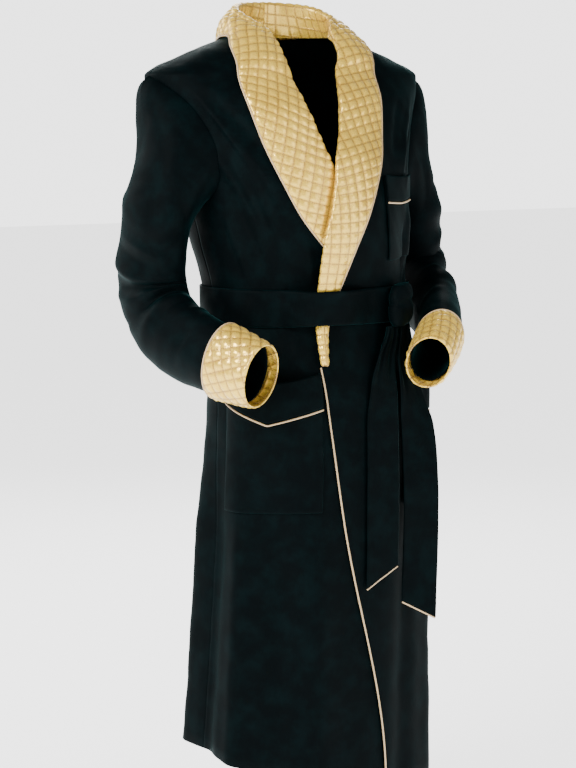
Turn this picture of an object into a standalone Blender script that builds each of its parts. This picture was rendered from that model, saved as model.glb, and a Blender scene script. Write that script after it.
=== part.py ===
"""A velvet smoking jacket with a quilted satin shawl collar, as separate sewn pieces in their worn form.

Metres, +Z up, the front towards -Y and the wearer's left towards +X. The origin is the middle
between the two points where the shoulder seams meet the neck. Angles are in degrees round the body:
0 is the wearer's left side, -90 the front, 180 the right side and 90 the back.
"""

import math
from collections import namedtuple

import bmesh
import bpy
from mathutils import Vector

# Cloth walls and the gaps between pieces
VELVET = 0.0023
BAND = 0.0020
BELT_CLOTH = 0.0036
SATIN = 0.0030
SEAM = 0.0003

# Quilting: cells about 15 mm across their stitches, so this far between grid lines
QUILT_STEP = 0.0120
QUILT_RISE = 0.0011

# Piping
PIPE_RADIUS = 0.0015
PIPE_SIDES = 4
PIPE_STEP = 0.022
PIPE_GAP = 0.0009

# Edges that turn by more than this stay sharp
SHARP_ANGLE = 60

UNDERARM = -0.262
SHOULDER_TIP = -0.065
NECK_DROP = 0.012
LOWEST_HEM = -1.125

# The body's level sections: the middle, the half width, how far the front and the back stand from
# the side line, and how square the section is (2 is an ellipse).
Ring = namedtuple("Ring", "height centre_x side_y half_width front back squareness")
BODY = (
    Ring(-1.160, 0.008, -0.037, 0.197, 0.137, 0.136, 2.2),
    Ring(-0.950, 0.012, -0.038, 0.188, 0.135, 0.134, 2.2),
    Ring(-0.737, 0.017, -0.040, 0.180, 0.133, 0.131, 2.2),
    Ring(-0.560, 0.020, -0.038, 0.174, 0.128, 0.125, 2.2),
    Ring(-0.490, 0.018, -0.032, 0.172, 0.123, 0.122, 2.2),
    Ring(-0.430, 0.015, -0.025, 0.166, 0.120, 0.118, 2.2),
    Ring(-0.390, 0.014, -0.020, 0.166, 0.124, 0.116, 2.2),
    Ring(-0.320, 0.008, -0.008, 0.172, 0.150, 0.130, 2.2),
    Ring(-0.262, 0.004, 0.000, 0.180, 0.159, 0.139, 2.2),
    Ring(-0.210, 0.002, 0.006, 0.190, 0.158, 0.134, 2.2),
    Ring(-0.160, 0.000, 0.012, 0.204, 0.148, 0.124, 2.2),
    Ring(-0.100, 0.000, 0.018, 0.224, 0.126, 0.109, 2.3),
    Ring(-0.065, 0.000, 0.020, 0.236, 0.098, 0.096, 2.3),
    Ring(-0.054, 0.000, 0.020, 0.222, 0.094, 0.093, 2.3),
    Ring(-0.042, 0.000, 0.019, 0.195, 0.087, 0.089, 2.2),
    Ring(-0.028, 0.000, 0.018, 0.160, 0.080, 0.083, 2.1),
    Ring(-0.014, 0.000, 0.018, 0.120, 0.073, 0.076, 2.0),
    Ring(0.000, 0.000, 0.018, 0.087, 0.066, 0.069, 2.0),
    Ring(0.020, 0.000, 0.019, 0.080, 0.063, 0.064, 2.0),
    Ring(0.050, 0.000, 0.020, 0.077, 0.062, 0.061, 2.0),
)

# The armhole's edges, measured round from the side line
Armhole = namedtuple("Armhole", "height front back")
ARMHOLE = (
    Armhole(-0.2620, 0.0, 0.0),
    Armhole(-0.2580, 9.0, 8.0),
    Armhole(-0.2450, 18.0, 16.0),
    Armhole(-0.2150, 27.0, 24.0),
    Armhole(-0.1700, 31.0, 27.0),
    Armhole(-0.1250, 28.0, 26.0),
    Armhole(-0.0920, 20.0, 20.0),
    Armhole(-0.0740, 10.0, 11.0),
    Armhole(-0.0650, 0.0, 0.0),
)

# Where each front ends, across the body. The left front laps over the right one.
Edge = namedtuple("Edge", "height left right")
FRONT_EDGE = (
    Edge(-1.160, 0.070, -0.115),
    Edge(-0.737, -0.0105, -0.100),
    Edge(-0.620, -0.026, -0.085),
    Edge(-0.550, -0.034, -0.070),
    Edge(-0.440, -0.043, -0.058),
    Edge(-0.390, -0.042, -0.050),
    Edge(-0.314, -0.038, -0.020),
    Edge(-0.254, -0.022, 0.009),
    Edge(-0.194, -0.004, 0.034),
    Edge(-0.150, 0.016, 0.045),
    Edge(-0.100, 0.034, 0.057),
    Edge(-0.040, 0.062, 0.062),
    Edge(0.000, 0.070, 0.070),
)

# How far the left front stands out over what lies under it
Lap = namedtuple("Lap", "height out")
LAP = (Lap(-1.16, 0.0046), Lap(-0.47, 0.0050), Lap(-0.40, 0.0110), Lap(-0.37, 0.0156),
       Lap(-0.22, 0.0154), Lap(-0.13, 0.0))

# Large folds: each runs from its top to its foot, and is this deep and wide.
Fold = namedtuple("Fold", "top top_angle foot foot_angle depth width")
FOLDS = (
    Fold(-0.07, -152, -0.27, -118, 0.0050, 0.013),
    Fold(-0.08, -142, -0.25, -112, -0.0040, 0.014),
    Fold(-0.13, -160, -0.33, -128, 0.0045, 0.012),
    Fold(-0.24, -150, -0.38, -135, -0.0045, 0.013),
    Fold(-0.09, -40, -0.23, -52, 0.0045, 0.013),
    Fold(-0.08, -52, -0.21, -58, -0.0035, 0.012),
    Fold(-0.25, -42, -0.38, -46, 0.0050, 0.010),
    Fold(-0.26, -32, -0.38, -33, -0.0050, 0.011),
    Fold(-0.27, -22, -0.38, -20, 0.0045, 0.010),
    Fold(-0.45, -36, -0.66, -44, 0.0050, 0.012),
    Fold(-0.44, -24, -0.70, -28, -0.0055, 0.015),
    Fold(-0.45, -120, -0.52, -118, 0.0045, 0.011),
    Fold(-0.44, -148, -0.56, -152, 0.0050, 0.013),
    Fold(-0.62, -30, -1.20, -38, 0.0110, 0.026),
    Fold(-0.66, -58, -1.20, -64, -0.0090, 0.026),
    Fold(-0.70, -112, -1.20, -104, 0.0100, 0.028),
    Fold(-0.66, -132, -1.20, -128, -0.0100, 0.026),
    Fold(-0.60, -156, -1.20, -152, 0.0100, 0.026),
    Fold(-0.58, -176, -1.20, -176, -0.0090, 0.024),
    Fold(-0.56, 164, -1.20, 161, 0.0110, 0.028),
    Fold(-0.60, 142, -1.20, 138, -0.0100, 0.028),
    Fold(-0.55, 118, -1.20, 116, 0.0110, 0.030),
    Fold(-0.60, 92, -1.20, 91, -0.0110, 0.030),
    Fold(-0.57, 68, -1.20, 66, 0.0100, 0.028),
    Fold(-0.60, 44, -1.20, 42, -0.0100, 0.028),
    Fold(-0.58, 20, -1.20, 16, 0.0110, 0.026),
    Fold(-0.62, 0, -1.20, -6, -0.0090, 0.024),
    Fold(-0.24, 120, -0.38, 112, 0.0060, 0.014),
    Fold(-0.22, 98, -0.38, 97, -0.0060, 0.014),
    Fold(-0.24, 76, -0.38, 80, 0.0060, 0.014),
    Fold(-0.27, 142, -0.38, 136, -0.0050, 0.014),
    Fold(-0.27, 52, -0.38, 58, -0.0050, 0.014),
    Fold(-0.12, 136, -0.26, 150, 0.0050, 0.015),
    Fold(-0.12, 44, -0.26, 30, 0.0050, 0.015),
    Fold(-0.45, 104, -0.53, 104, 0.0050, 0.013),
    Fold(-0.45, 78, -0.53, 78, 0.0050, 0.013),
)


def read(rows, column, at, key=0):
    """Reads a column at a place between the rows, on a smooth curve that never overshoots."""
    rows = sorted(rows, key=lambda row: row[key])
    keys = [row[key] for row in rows]
    values = [getattr(row, column) for row in rows]
    if at <= keys[0]:
        return values[0]
    if at >= keys[-1]:
        return values[-1]
    i = max(n for n, place in enumerate(keys[:-1]) if place <= at)

    def slope(n):
        if n <= 0 or n >= len(keys) - 1:
            return 0.0
        before = (values[n] - values[n - 1]) / (keys[n] - keys[n - 1])
        after = (values[n + 1] - values[n]) / (keys[n + 1] - keys[n])
        if before * after <= 0:
            return 0.0
        return 2 * before * after / (before + after)

    span = keys[i + 1] - keys[i]
    t = (at - keys[i]) / span
    start = values[i] + t * t * (3 - 2 * t) * (values[i + 1] - values[i])
    return start + span * (t * (1 - t) ** 2 * slope(i) - t * t * (1 - t) * slope(i + 1))


def ease(at, start, end):
    """0 before start, 1 after end, and smooth between."""
    t = min(1.0, max(0.0, (at - start) / (end - start)))
    return t * t * (3 - 2 * t)


def turn(angle):
    """An angle between -180 and 180 degrees."""
    return (angle + 180.0) % 360.0 - 180.0


def drape(height, angle, radius):
    """How far the folds push the cloth out at a place."""
    out = 0.0
    for fold in FOLDS:
        if height >= fold.top or height <= fold.foot:
            continue
        t = (fold.top - height) / (fold.top - fold.foot)
        middle = fold.top_angle + t * turn(fold.foot_angle - fold.top_angle)
        away = math.radians(turn(angle - middle)) * radius / fold.width
        if abs(away) < 3:
            share = ease(t, 0, 0.35) * (1 if fold.foot < LOWEST_HEM else 1 - ease(t, 0.6, 1))
            out += fold.depth * share * math.exp(-away * away)
    return out


def section(height, angle):
    """The point of the worn form at a height and an angle."""
    ring = Ring(height, *(read(BODY, column, height) for column in Ring._fields[1:]))
    across = math.cos(math.radians(angle))
    along = math.sin(math.radians(angle))
    power = 2.0 / ring.squareness
    depth = ring.back if along > 0 else ring.front
    x = math.copysign(abs(across) ** power, across)
    y = math.copysign(abs(along) ** power, along)
    push = 1 + drape(height, angle, ring.half_width) / ring.half_width
    return Vector((ring.centre_x + ring.half_width * x * push, ring.side_y + depth * y * push, height))


def normal(height, angle):
    """The way out of the worn form."""
    round_body = section(height, angle + 1.5) - section(height, angle - 1.5)
    up = section(height + 0.004, angle) - section(height - 0.004, angle)
    return round_body.cross(up).normalized()


def body(height, angle, out=0.0):
    """A point of the worn form, moved out of the cloth's face by some distance."""
    return section(height, angle) + out * normal(height, angle)


def front_angle(height, x):
    """The angle of the point of the front that lies at x."""
    middle = read(BODY, "centre_x", height)
    share = (x - middle) / read(BODY, "half_width", height)
    share = max(-1.0, min(1.0, share))
    across = math.copysign(abs(share) ** (read(BODY, "squareness", height) / 2.0), share)
    return -math.degrees(math.acos(across))


def lap(height, angle):
    """How far the left front stands out over the right one."""
    under = front_angle(height, -read(FRONT_EDGE, "right", height))
    return read(LAP, "out", height) * (1 - ease(angle, under + 10, under + 38))


# Meshes


def grid_normals(grid, closed):
    """The way out at each point of a grid of rows."""
    rows, columns = len(grid), len(grid[0])
    result = []
    for r in range(rows):
        line = []
        for c in range(columns):
            if closed:
                left, right = grid[r][(c - 1) % columns], grid[r][(c + 1) % columns]
            else:
                left, right = grid[r][max(c - 1, 0)], grid[r][min(c + 1, columns - 1)]
            down, up = grid[max(r - 1, 0)][c], grid[min(r + 1, rows - 1)][c]
            line.append((right - left).cross(up - down).normalized())
        result.append(line)
    return result


def add_object(name, mesh, material):
    piece = bpy.data.objects.new(name, mesh)
    bpy.context.collection.objects.link(piece)
    mesh.materials.append(material)
    return piece


def wall(name, material, grid, thickness, closed=False, relief=None, normals=None, inside=None):
    """A sheet of cloth: its outer face follows a grid, and its inner face lies under it.

    Rows run upwards and columns run anticlockwise seen from above, so that the face looks out.
    relief gives how far an outer point is raised, normals the ways out where they are known, and
    inside the rows that a plain inner face keeps.
    """
    rows, columns = len(grid), len(grid[0])
    normals = normals or grid_normals(grid, closed)
    kept = inside or range(rows)
    mesh = bmesh.new()
    outer, inner = [], []
    for r in range(rows):
        outer.append([])
        for c in range(columns):
            rise = relief(r, c) if relief else 0.0
            outer[r].append(mesh.verts.new(grid[r][c] + rise * normals[r][c]))
    for r in kept:
        inner.append([mesh.verts.new(grid[r][c] - thickness * normals[r][c]) for c in range(columns)])
    last = columns if closed else columns - 1
    for face, turned in ((outer, 0), (inner, 1)):
        for r in range(len(face) - 1):
            for c in range(last):
                d = (c + 1) % columns
                corners = [face[r][c], face[r][d], face[r + 1][d], face[r + 1][c]]
                if (r + c) % 2:
                    corners = corners[1:] + corners[:1]
                for triangle in (corners[:3], [corners[2], corners[3], corners[0]]):
                    mesh.faces.new(triangle[::-1] if turned else triangle)
    for c in range(last):
        d = (c + 1) % columns
        mesh.faces.new((outer[0][c], inner[0][c], inner[0][d], outer[0][d]))
        mesh.faces.new((outer[-1][d], inner[-1][d], inner[-1][c], outer[-1][c]))
    if not closed:
        for n in range(len(kept) - 1):
            low, high = kept[n], kept[n + 1]
            first = [outer[r][0] for r in range(low, high + 1)]
            mesh.faces.new(first + [inner[n + 1][0], inner[n][0]])
            final = [outer[r][-1] for r in range(high, low - 1, -1)]
            mesh.faces.new(final + [inner[n][-1], inner[n + 1][-1]])
    bmesh.ops.triangulate(mesh, faces=[f for f in mesh.faces if len(f.verts) > 3])
    data = bpy.data.meshes.new(name)
    mesh.to_mesh(data)
    mesh.free()
    data.shade_smooth()
    data.set_sharp_from_angle(angle=math.radians(SHARP_ANGLE))
    return add_object(name, data, material)


def loft(name, material, sections):
    """A solid through closed sections of equal counts, with flat ends."""
    mesh = bmesh.new()
    rings = [[mesh.verts.new(point) for point in ring] for ring in sections]
    count = len(rings[0])
    for low, high in zip(rings, rings[1:]):
        for c in range(count):
            d = (c + 1) % count
            mesh.faces.new((low[c], low[d], high[d], high[c]))
    mesh.faces.new(rings[0][::-1])
    mesh.faces.new(rings[-1])
    bmesh.ops.triangulate(mesh, faces=mesh.faces)
    bmesh.ops.recalc_face_normals(mesh, faces=mesh.faces)
    data = bpy.data.meshes.new(name)
    mesh.to_mesh(data)
    mesh.free()
    data.shade_smooth()
    data.set_sharp_from_angle(angle=math.radians(SHARP_ANGLE))
    return add_object(name, data, material)


def curve_point(points, t):
    """A point of the smooth curve through some points, at a share t of their count."""
    place = min(max(t, 0.0), 1.0) * (len(points) - 1)
    i = min(int(place), len(points) - 2)
    t = place - i
    a = points[max(i - 1, 0)]
    b, c = points[i], points[i + 1]
    d = points[min(i + 2, len(points) - 1)]
    return 0.5 * (2 * b + (c - a) * t + (2 * a - 5 * b + 4 * c - d) * t * t
                  + (3 * b - a - 3 * c + d) * t * t * t)


def even_line(points, step):
    """Points at even steps along a line of points, from its first to its last."""
    lengths = [0.0]
    for a, b in zip(points, points[1:]):
        lengths.append(lengths[-1] + (b - a).length)
    count = max(2, round(lengths[-1] / step))
    result = []
    i = 0
    for n in range(count + 1):
        at = lengths[-1] * n / count
        while i < len(points) - 2 and lengths[i + 1] < at:
            i += 1
        span = lengths[i + 1] - lengths[i]
        result.append(points[i].lerp(points[i + 1], (at - lengths[i]) / span))
    return result


def piping(name, material, line, closed=False):
    """A cord of piping along a line of points."""
    points = even_line(line, PIPE_STEP)
    if closed:
        points = points[:-1]
    count = len(points)
    rings = []
    side = None
    for n in range(count):
        if closed:
            way = (points[(n + 1) % count] - points[n - 1]).normalized()
        else:
            way = (points[min(n + 1, count - 1)] - points[max(n - 1, 0)]).normalized()
        side = way.orthogonal() if side is None else side - way * side.dot(way)
        side = side.normalized()
        other = way.cross(side)
        ring = []
        for k in range(PIPE_SIDES):
            a = math.tau * k / PIPE_SIDES
            ring.append(points[n] + PIPE_RADIUS * (math.cos(a) * side + math.sin(a) * other))
        rings.append(ring)
    if not closed:
        return loft(name, material, rings)
    shift = min(range(PIPE_SIDES), key=lambda k: (rings[0][k] - rings[-1][0]).length)
    mesh = bmesh.new()
    rings = [[mesh.verts.new(point) for point in ring] for ring in rings]
    for n in range(count):
        low, high = rings[n], rings[(n + 1) % count]
        turned = shift if n == count - 1 else 0
        for k in range(PIPE_SIDES):
            j = (k + 1) % PIPE_SIDES
            mesh.faces.new((low[k], low[j], high[(j + turned) % PIPE_SIDES],
                            high[(k + turned) % PIPE_SIDES]))
    bmesh.ops.triangulate(mesh, faces=mesh.faces)
    bmesh.ops.recalc_face_normals(mesh, faces=mesh.faces)
    data = bpy.data.meshes.new(name)
    mesh.to_mesh(data)
    mesh.free()
    data.shade_smooth()
    return add_object(name, data, material)


# Panels

PANEL_ROWS = (-1.125, -1.020, -0.915, -0.820, -0.735, -0.655, -0.585, -0.540, -0.503, -0.470, -0.440,
              -0.410, -0.380, -0.340, -0.300)
ARMHOLE_ROWS = (-0.262, -0.257, -0.243, -0.220, -0.192, -0.163, -0.134, -0.107, -0.086, -0.072, -0.065)
SHOULDER_ROWS = (-0.053, -0.036, -0.018, 0.0)
SEAM_ANGLE = 0.05
BACK_COLUMNS = 18
FRONT_COLUMNS = 12


def lowered(row, angle):
    """The height of a panel's row, which dips to the hem's slant below and to the nape above."""
    a = math.radians(angle)
    hem = -0.030 * math.cos(a) + 0.020 * math.sin(a)
    nape = NECK_DROP * max(0.0, math.sin(a)) ** 2
    return row + hem * (1 - ease(row, LOWEST_HEM, -0.80)) - nape * ease(row, -0.03, 0.0)


def side_angle(row, which):
    """How far round from the side line a panel ends at a row."""
    if UNDERARM < row < SHOULDER_TIP:
        return SEAM_ANGLE + read(ARMHOLE, which, row)
    return SEAM_ANGLE


def panel(first, last, columns, out):
    """A panel's outer points and ways out between two edges, angles that depend on the row."""
    grid, ways = [], []
    for row in PANEL_ROWS + ARMHOLE_ROWS + SHOULDER_ROWS:
        start, end = first(row), last(row)
        grid.append([])
        ways.append([])
        for c in range(columns):
            angle = start + (end - start) * c / (columns - 1)
            height = lowered(row, angle)
            grid[-1].append(body(height, angle, out(height, angle)))
            ways[-1].append(normal(height, angle))
    return grid, ways


def front_edge(row, side):
    """The angle of a front's free edge: side is 1 on the left and -1 on the right."""
    height = lowered(row, -80)
    return front_angle(height, side * read(FRONT_EDGE, "left" if side > 0 else "right", height))


def build_panels(velvet):
    back = panel(lambda row: side_angle(row, "back"), lambda row: 180 - side_angle(row, "back"),
                 BACK_COLUMNS, lambda height, angle: 0.0)
    left = panel(lambda row: front_edge(row, 1), lambda row: -side_angle(row, "front"),
                 FRONT_COLUMNS, lap)
    right = panel(lambda row: side_angle(row, "front") - 180, lambda row: front_edge(row, -1),
                  FRONT_COLUMNS, lambda height, angle: 0.0)
    for name, (grid, ways) in (("back", back), ("front_left", left), ("front_right", right)):
        wall(name, velvet, grid, VELVET, normals=ways)


# Sleeves and cuffs

# The arms' middle lines: how far out, along and up they lie, and half the sleeve's size from front to
# back (wide) and from the body outwards (thick). Each starts below the shoulder and ends at the hand.
Arm = namedtuple("Arm", "x y z wide thick")
ARM_RIGHT = (
    Arm(0.203, 0.006, -0.150, 0.063, 0.042),
    Arm(0.222, -0.004, -0.205, 0.064, 0.044),
    Arm(0.234, 0.000, -0.262, 0.065, 0.046),
    Arm(0.234, 0.018, -0.320, 0.067, 0.047),
    Arm(0.229, 0.030, -0.375, 0.067, 0.047),
    Arm(0.226, 0.010, -0.425, 0.065, 0.046),
    Arm(0.221, -0.045, -0.458, 0.061, 0.044),
    Arm(0.205, -0.118, -0.480, 0.055, 0.040),
    Arm(0.176, -0.202, -0.502, 0.046, 0.036),
)
ARM_LEFT = (
    Arm(0.199, 0.006, -0.150, 0.062, 0.042),
    Arm(0.208, 0.004, -0.205, 0.062, 0.043),
    Arm(0.227, 0.010, -0.262, 0.062, 0.044),
    Arm(0.243, 0.022, -0.320, 0.062, 0.045),
    Arm(0.250, 0.030, -0.366, 0.062, 0.045),
    Arm(0.244, -0.005, -0.402, 0.060, 0.042),
    Arm(0.221, -0.080, -0.436, 0.054, 0.037),
    Arm(0.168, -0.168, -0.462, 0.047, 0.032),
    Arm(0.106, -0.226, -0.496, 0.043, 0.031),
)
HEAD_ROWS = 5
HEAD_OUTSIDE = 0.10
HEAD_UNDER = 0.34
HEAD_LEAN = -0.25
HEAD_START = 0.35
HEAD_FULL = 0.50
HEAD_STOP = 0.90
SLEEVE_ROWS = 12
SLEEVE_TO = 0.965
CUFF_LENGTH = 0.072
CUFF_COLUMNS = 26
CUFF_ROWS = 6
CUFF_INSIDE = (0, 3, 6)
CUFF_CLEAR = 0.0003
CUFF_FLARE = 0.003
SLEEVE_GAP = 0.0005
UNDERARM_GAP = 0.0014

# Creases of a sleeve: the share of its length, the place round it (0 outside, 90 front), how far the
# crease slants along per turn, how deep, and how wide along and round.
Crease = namedtuple("Crease", "along round slant depth length spread")
CREASES = (
    Crease(0.40, 20, 0.10, -0.0050, 0.026, 50),
    Crease(0.46, 15, 0.10, 0.0060, 0.029, 60),
    Crease(0.52, 25, 0.12, -0.0060, 0.026, 60),
    Crease(0.58, 40, 0.12, 0.0055, 0.027, 60),
    Crease(0.64, 50, 0.10, -0.0060, 0.026, 60),
    Crease(0.70, 40, 0.08, 0.0050, 0.026, 60),
    Crease(0.27, 60, -0.15, 0.0045, 0.032, 45),
    Crease(0.33, 75, -0.15, -0.0040, 0.032, 45),
    Crease(0.25, 300, 0.15, 0.0045, 0.032, 45),
    Crease(0.32, 290, 0.15, -0.0040, 0.032, 45),
)


def arm_point(side, arm, t, round_arm, extra=0.0):
    """A point round an arm at a share of its length; 0 is its outer side and 90 its front."""
    centres = [Vector((side * row.x, row.y, row.z)) for row in arm]
    sizes = [Vector((row.wide, row.thick, 0)) for row in arm]
    centre = curve_point(centres, t)
    way = (curve_point(centres, t + 0.04) - curve_point(centres, t - 0.04)).normalized()
    size = curve_point(sizes, t)
    outside = Vector((side, 0, 0))
    outside = (outside - way * outside.dot(way)).normalized()
    front = -side * outside.cross(way)
    a = math.radians(round_arm)
    for crease in CREASES:
        apart = turn(round_arm - crease.round)
        along = (t - crease.along - crease.slant * apart / 360) / crease.length
        extra += crease.depth * math.exp(-along * along - (apart / crease.spread) ** 2)
    wide, thick = size.x + extra, size.y + extra
    return centre + outside * (thick * math.cos(a)) + front * (wide * math.sin(a))


def armhole_ring(side):
    """The armhole's edge from the shoulder tip down the front and up the back, with its normals."""
    rows = ARMHOLE_ROWS[::-1]
    places = [(row, "front") for row in rows] + [(row, "back") for row in rows[-2:0:-1]]
    ring = []
    for row, which in places:
        away = side_angle(row, which)
        if which == "front":
            away = -away
        angle = away if side > 0 else 180 - away
        ring.append((body(row, angle), normal(row, angle)))
    return ring


def sleeve_grid(side, arm):
    """A sleeve's outer points and ways out, from its hand end up to the armhole."""
    ring = armhole_ring(side)
    count = len(ring)
    outward = Vector((side, 0, HEAD_LEAN)).normalized()
    rows = [[]]
    for c, (point, _) in enumerate(ring):
        under = 0.5 - 0.5 * math.cos(math.tau * c / count)
        rows[0].append(point + outward * (SLEEVE_GAP + (UNDERARM_GAP - SLEEVE_GAP) * under))

    def begin(c):
        """The share of the arm at which a column leaves the sleeve's head: lower under the arm."""
        return HEAD_OUTSIDE + (HEAD_UNDER - HEAD_OUTSIDE) * (0.5 - 0.5 * math.cos(math.tau * c / count))

    for r in range(1, HEAD_ROWS):
        t = r / HEAD_ROWS
        line = []
        for c in range(count):
            a = rows[0][c]
            b = arm_point(side, arm, begin(c), 360 * c / count)
            ahead = arm_point(side, arm, begin(c) + 0.03, 360 * c / count)
            far = (b - a).length
            cap = 0.5 + 0.5 * math.cos(math.tau * c / count)
            start = outward * far * (HEAD_START + HEAD_FULL * cap)
            stop = (ahead - b).normalized() * far * HEAD_STOP
            line.append((2 * t ** 3 - 3 * t * t + 1) * a + (t ** 3 - 2 * t * t + t) * start
                        + (3 * t * t - 2 * t ** 3) * b + (t ** 3 - t * t) * stop)
        rows.append(line)
    for r in range(SLEEVE_ROWS + 1):
        down = r / SLEEVE_ROWS
        rows.append([arm_point(side, arm, begin(c) + (SLEEVE_TO - begin(c)) * down, 360 * c / count)
                     for c in range(count)])
    rows.reverse()
    ends = [way for _, way in ring]
    if side > 0:
        rows = [line[::-1] for line in rows]
        ends.reverse()
    return rows, grid_normals(rows, True)[:-1] + [ends]


def cuff_start(side, arm):
    """The share of the arm's length where its cuff begins."""
    end = curve_point([Vector((side * row.x, row.y, row.z)) for row in arm], 1.0)
    t = 1.0
    while (curve_point([Vector((side * row.x, row.y, row.z)) for row in arm], t) - end).length < CUFF_LENGTH:
        t -= 0.002
    return t


def build_sleeve(name, side, arm, velvet, satin, cord):
    grid, normals = sleeve_grid(side, arm)
    wall("sleeve_" + name, velvet, grid, VELVET, closed=True, normals=normals)
    start = cuff_start(side, arm)
    cuff = []
    for r in range(CUFF_ROWS + 1):
        up = r / CUFF_ROWS
        t = 1.0 - up * (1.0 - start)
        extra = CUFF_CLEAR + SATIN + CUFF_FLARE * up
        line = [arm_point(side, arm, t, 360 * c / CUFF_COLUMNS, extra) for c in range(CUFF_COLUMNS)]
        cuff.append(line if side < 0 else line[::-1])
    wall("cuff_" + name, satin, cuff, SATIN, closed=True, relief=quilt, inside=CUFF_INSIDE)
    edge = []
    for c in range(CUFF_COLUMNS):
        up = cuff[-1][c] - cuff[-2][c]
        edge.append(cuff[-1][c] + up.normalized() * (PIPE_RADIUS + PIPE_GAP))
    piping("piping_cuff_" + name, cord, edge + edge[:1], closed=True)


def quilt(row, column):
    """The rise of a quilted point: stitches cross at even points and each cell's middle is high."""
    return QUILT_RISE if (row + column) % 2 else 0.0


# Collar

FALL_ROWS = 8
FOLD_ROWS = 3
LIP_ROWS = 1
COLLAR_INSIDE = (0, 4, 8, 9, 10, 11, 12)
FOLD_RADIUS = 0.0060
FLAT_RADIUS = 0.0034
EDGE_OUT = 0.0056
LIFT = 0.0085
UNDER_LIFT = 0.0060
STAND_RING = 0.006
STAND_FOOT = -0.006
LIP = 0.013
LIP_START = 0.003
LIP_UNDER = 0.0028
STAND_UNDER = 0.0008
LYING_REST = 0.0016
NARROW = 0.05
BRIDGE_FRONT = 0.003
BRIDGE_NECK = 0.007
COLLAR_PIPE_GAP = 0.0012

# Pairs of points on each front: the roll line and the collar's outer edge
Lapel = namedtuple("Lapel", "roll_x roll_z edge_x edge_z")
LAPEL_RIGHT = (
    Lapel(0.040, -0.366, 0.016, -0.376),
    Lapel(0.020, -0.310, -0.030, -0.326),
    Lapel(-0.003, -0.250, -0.069, -0.277),
    Lapel(-0.020, -0.209, -0.095, -0.226),
    Lapel(-0.035, -0.164, -0.1150, -0.170),
    Lapel(-0.046, -0.120, -0.1295, -0.116),
    Lapel(-0.053, -0.075, -0.1330, -0.075),
    Lapel(-0.057, -0.035, -0.1285, -0.048),
)
LAPEL_LEFT = (
    Lapel(-0.0390, -0.500, -0.0320, -0.5005),
    Lapel(-0.0430, -0.440, -0.027, -0.442),
    Lapel(-0.0415, -0.390, -0.014, -0.394),
    Lapel(-0.0410, -0.314, 0.003, -0.326),
    Lapel(-0.0280, -0.254, 0.028, -0.270),
    Lapel(-0.0120, -0.194, 0.062, -0.204),
    Lapel(0.010, -0.150, 0.082, -0.155),
    Lapel(0.026, -0.100, 0.096, -0.103),
    Lapel(0.042, -0.060, 0.104, -0.066),
    Lapel(0.055, -0.032, 0.112, -0.044),
)
# The same round the neck, as angles from the side line towards the back
Neck = namedtuple("Neck", "roll_angle roll_z edge_angle edge_z")
NECK = (
    Neck(-45, 0.000, -35, -0.0235),
    Neck(-15, 0.019, -10, -0.0095),
    Neck(8, 0.029, 12, -0.0080),
    Neck(28, 0.036, 32, -0.0105),
    Neck(48, 0.040, 52, -0.0190),
    Neck(69, 0.042, 71, -0.0310),
    Neck(89.85, 0.043, 89.85, -0.0380),
)


def collar_sections(side, lapels):
    """Control points of a collar's half from its lower end to the centre back."""
    rows = []
    for row in lapels:
        roll_angle = front_angle(row.roll_z, row.roll_x)
        edge_angle = front_angle(row.edge_z, row.edge_x)
        rows.append((row.roll_z, roll_angle, row.edge_z, edge_angle))
    for row in NECK:
        roll_angle = row.roll_angle if side > 0 else 180 - row.roll_angle
        edge_angle = row.edge_angle if side > 0 else 180 - row.edge_angle
        if side < 0 and roll_angle > 180:
            roll_angle -= 360
        if side < 0 and edge_angle > 180:
            edge_angle -= 360
        rows.append((row.roll_z, roll_angle, row.edge_z, edge_angle))
    sections = []
    for roll_z, roll_angle, edge_z, edge_angle in rows:
        over = (lambda height, angle: lap(height, angle)) if side > 0 and roll_z < -0.1 \
            else (lambda height, angle: 0.0)
        wrap = ease(roll_z, -0.25, -0.18)
        reach = LIP * ease(roll_z, -0.19, -0.13) + LIP_START
        rest = (1 - wrap) * (FLAT_RADIUS + LYING_REST)
        way = normal(roll_z, roll_angle)
        roll = body(roll_z, roll_angle, over(roll_z, roll_angle) + rest)
        edge = body(edge_z, edge_angle, over(edge_z, edge_angle) + EDGE_OUT)
        middle_z = (roll_z + edge_z) / 2
        middle_angle = roll_angle + turn(edge_angle - roll_angle) / 2
        under = body(middle_z, middle_angle, over(middle_z, middle_angle))
        middle_way = normal(middle_z, middle_angle)
        chord = (roll + way * FOLD_RADIUS + edge) / 2
        narrow = min(1.0, (edge - roll).length / NARROW)
        lift = LIFT if side > 0 else UNDER_LIFT + (LIFT - UNDER_LIFT) * ease(roll_z, -0.25, -0.20)
        bridge = (chord - under).dot(middle_way) + (BRIDGE_NECK if roll_z > -0.05 else BRIDGE_FRONT)
        high = max(bridge, EDGE_OUT + (lift - EDGE_OUT) * narrow)
        target = under + middle_way * high
        if roll_z > -0.01:
            lip = body(STAND_RING, roll_angle, -FOLD_RADIUS - STAND_UNDER)
            lip.z = STAND_FOOT
        else:
            share = reach / (edge - roll).length
            lip_z = roll_z + share * (edge_z - roll_z)
            lip_angle = roll_angle + share * turn(edge_angle - roll_angle)
            lip = body(lip_z, lip_angle, over(lip_z, lip_angle) - FOLD_RADIUS - LIP_UNDER)
        radius = FLAT_RADIUS + wrap * (FOLD_RADIUS - FLAT_RADIUS)
        sections.append((roll, edge, target, lip, way, Vector((radius, wrap, reach))))
    return sections


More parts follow.
